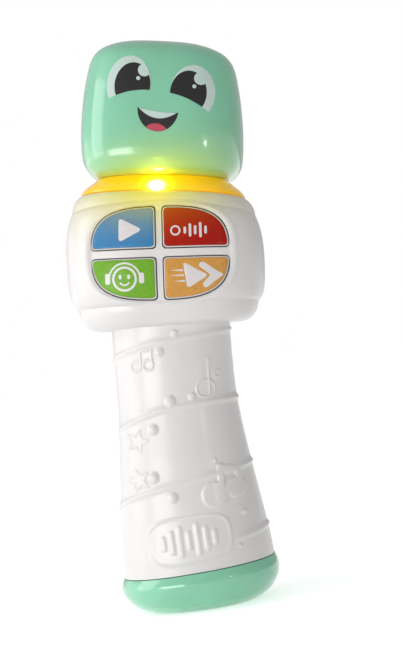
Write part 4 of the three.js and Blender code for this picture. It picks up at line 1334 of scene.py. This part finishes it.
floor = bpy.data.objects.new("floor", bpy.data.meshes.new("floor"))
scene.collection.objects.link(floor)
REACH = 30
corners = [(x * REACH, y * REACH, 0) for x, y in ((-1, -1), (1, -1), (1, 1), (-1, 1))]
floor.data.from_pydata(corners, [], [(0, 1, 2, 3)])
floor_paint = Shader("pale_floor", 0.7)
greys = (0.3, (0.9, 0.9, 0.9, 1)), (0.7, (0.93, 0.93, 0.93, 1))
floor_paint.color(floor_paint.ramp(floor_paint.noise(0.02, 5), *greys))
floor_paint.spread(floor_paint.noise(0.05, 4), 0.65, 0.8)
floor_paint.set(floor_paint.shader, "Emission Color", (1, 1, 1, 1))
light_path = floor_paint.node("ShaderNodeLightPath")
seen = floor_paint.math("MAXIMUM", light_path.outputs["Is Camera Ray"], light_path.outputs["Is Glossy Ray"])
shine = floor_paint.math("ADD", floor_paint.math("MULTIPLY", seen, 0.46), 0.12)
floor_paint.link(shine, floor_paint.shader, "Emission Strength")
floor.data.materials.append(floor_paint.material)

world = bpy.data.worlds.new("studio")
scene.world = world
world.use_nodes = True
tree = world.node_tree
background = tree.nodes["Background"]
background.inputs["Color"].default_value = (1, 1, 1, 1)
kinds = "LightPath", "TexCoord", "SeparateXYZ", "MapRange", "Mix"
ray, direction, split, side, choose = (tree.nodes.new("ShaderNode" + kind) for kind in kinds)
for socket, value in {"From Min": -1, "From Max": 1, "To Min": 0.59, "To Max": 0.35}.items():
    side.inputs[socket].default_value = value
choose.inputs["B"].default_value = 1.0
for source, output, target, socket in [
    (direction, "Generated", split, "Vector"), (split, "X", side, "Value"), (side, "Result", choose, "A"),
    (ray, "Is Camera Ray", choose, "Factor"), (choose, "Result", background, "Strength"),
]:
    tree.links.new(source.outputs[output], target.inputs[socket])


def softbox(name, location, target, size, watts, color=(1, 1, 1)):
    """A rectangular area light facing a point; lengths in millimetres."""
    data = bpy.data.lights.new(name, "AREA")
    data.shape, data.size, data.size_y = "RECTANGLE", size[0] * MM, size[1] * MM
    data.energy, data.color = watts, color
    item = bpy.data.objects.new(name, data)
    scene.collection.objects.link(item)
    item.location = Vector(location) * MM
    item.rotation_euler = (Vector(target) - Vector(location)).to_track_quat("-Z", "Y").to_euler()
    item.visible_camera = False
    return item


softbox("fill_front", (-380, -600, 78), (0, 0, 110), (420, 140), 0.9).visible_glossy = False
softbox("strip_left", (-380, -600, 70), (0, 0, 110), (420, 200), 1.5).visible_diffuse = False
softbox("card_right", (416, -563, 140), (15, 0, 180), (70, 40), 0.12)
softbox("key_left", (-1100, -250, 420), (0, 0, 110), (700, 900), 4.35)
softbox("rim_left", (-900, 350, 60), (0, 0, 60), (900, 700), 1.3).visible_diffuse = False
sun = bpy.data.objects.new("soft_sun", bpy.data.lights.new("soft_sun", "SUN"))
sun.data.energy, sun.data.angle = 0.12, math.radians(40)
sun.rotation_euler = Vector((0.9, 0.25, -0.8)).to_track_quat("-Z", "Y").to_euler()
scene.collection.objects.link(sun)


def lamp_glow(name, x, y, s, radius, watts, color):
    """The collar's light spilling onto the head and the panel."""
    item = bpy.data.objects.new(name, bpy.data.lights.new(name, "POINT"))
    item.data.energy, item.data.color, item.data.shadow_soft_size = watts, color, radius * MM
    item.location = [float(v) * MM for v in on_section(x, y, s)]
    item.visible_camera = False
    scene.collection.objects.link(item)


lamp_glow("glow_front", -0.6, -38, 170, 3, 0.001, (1, 0.86, 0.05))

CAMERA = {
    "at": (52.343, -640, 95.05), "yaw": -3.364, "pitch": 1.52, "roll": -8.231,
    "focal": 1571.5, "picture": (403, 651),
}
camera = bpy.data.objects.new("camera", bpy.data.cameras.new("camera"))
scene.collection.objects.link(camera)
yaw, pitch, roll = (math.radians(CAMERA[k]) for k in ("yaw", "pitch", "roll"))
forward = Vector((math.sin(yaw) * math.cos(pitch), math.cos(yaw) * math.cos(pitch), math.sin(pitch)))
level = Vector((math.cos(yaw), -math.sin(yaw), 0))
upward = level.cross(forward)
right = level * math.cos(roll) + upward * math.sin(roll)
top = upward * math.cos(roll) - level * math.sin(roll)
turn = Matrix((right, top, -forward)).transposed().to_4x4()
camera.matrix_world = Matrix.Translation(Vector(CAMERA["at"]) * MM) @ turn
camera.data.sensor_width = 36
camera.data.lens = CAMERA["focal"] * 36 / max(CAMERA["picture"])
camera.data.clip_start = 0.01
scene.camera = camera
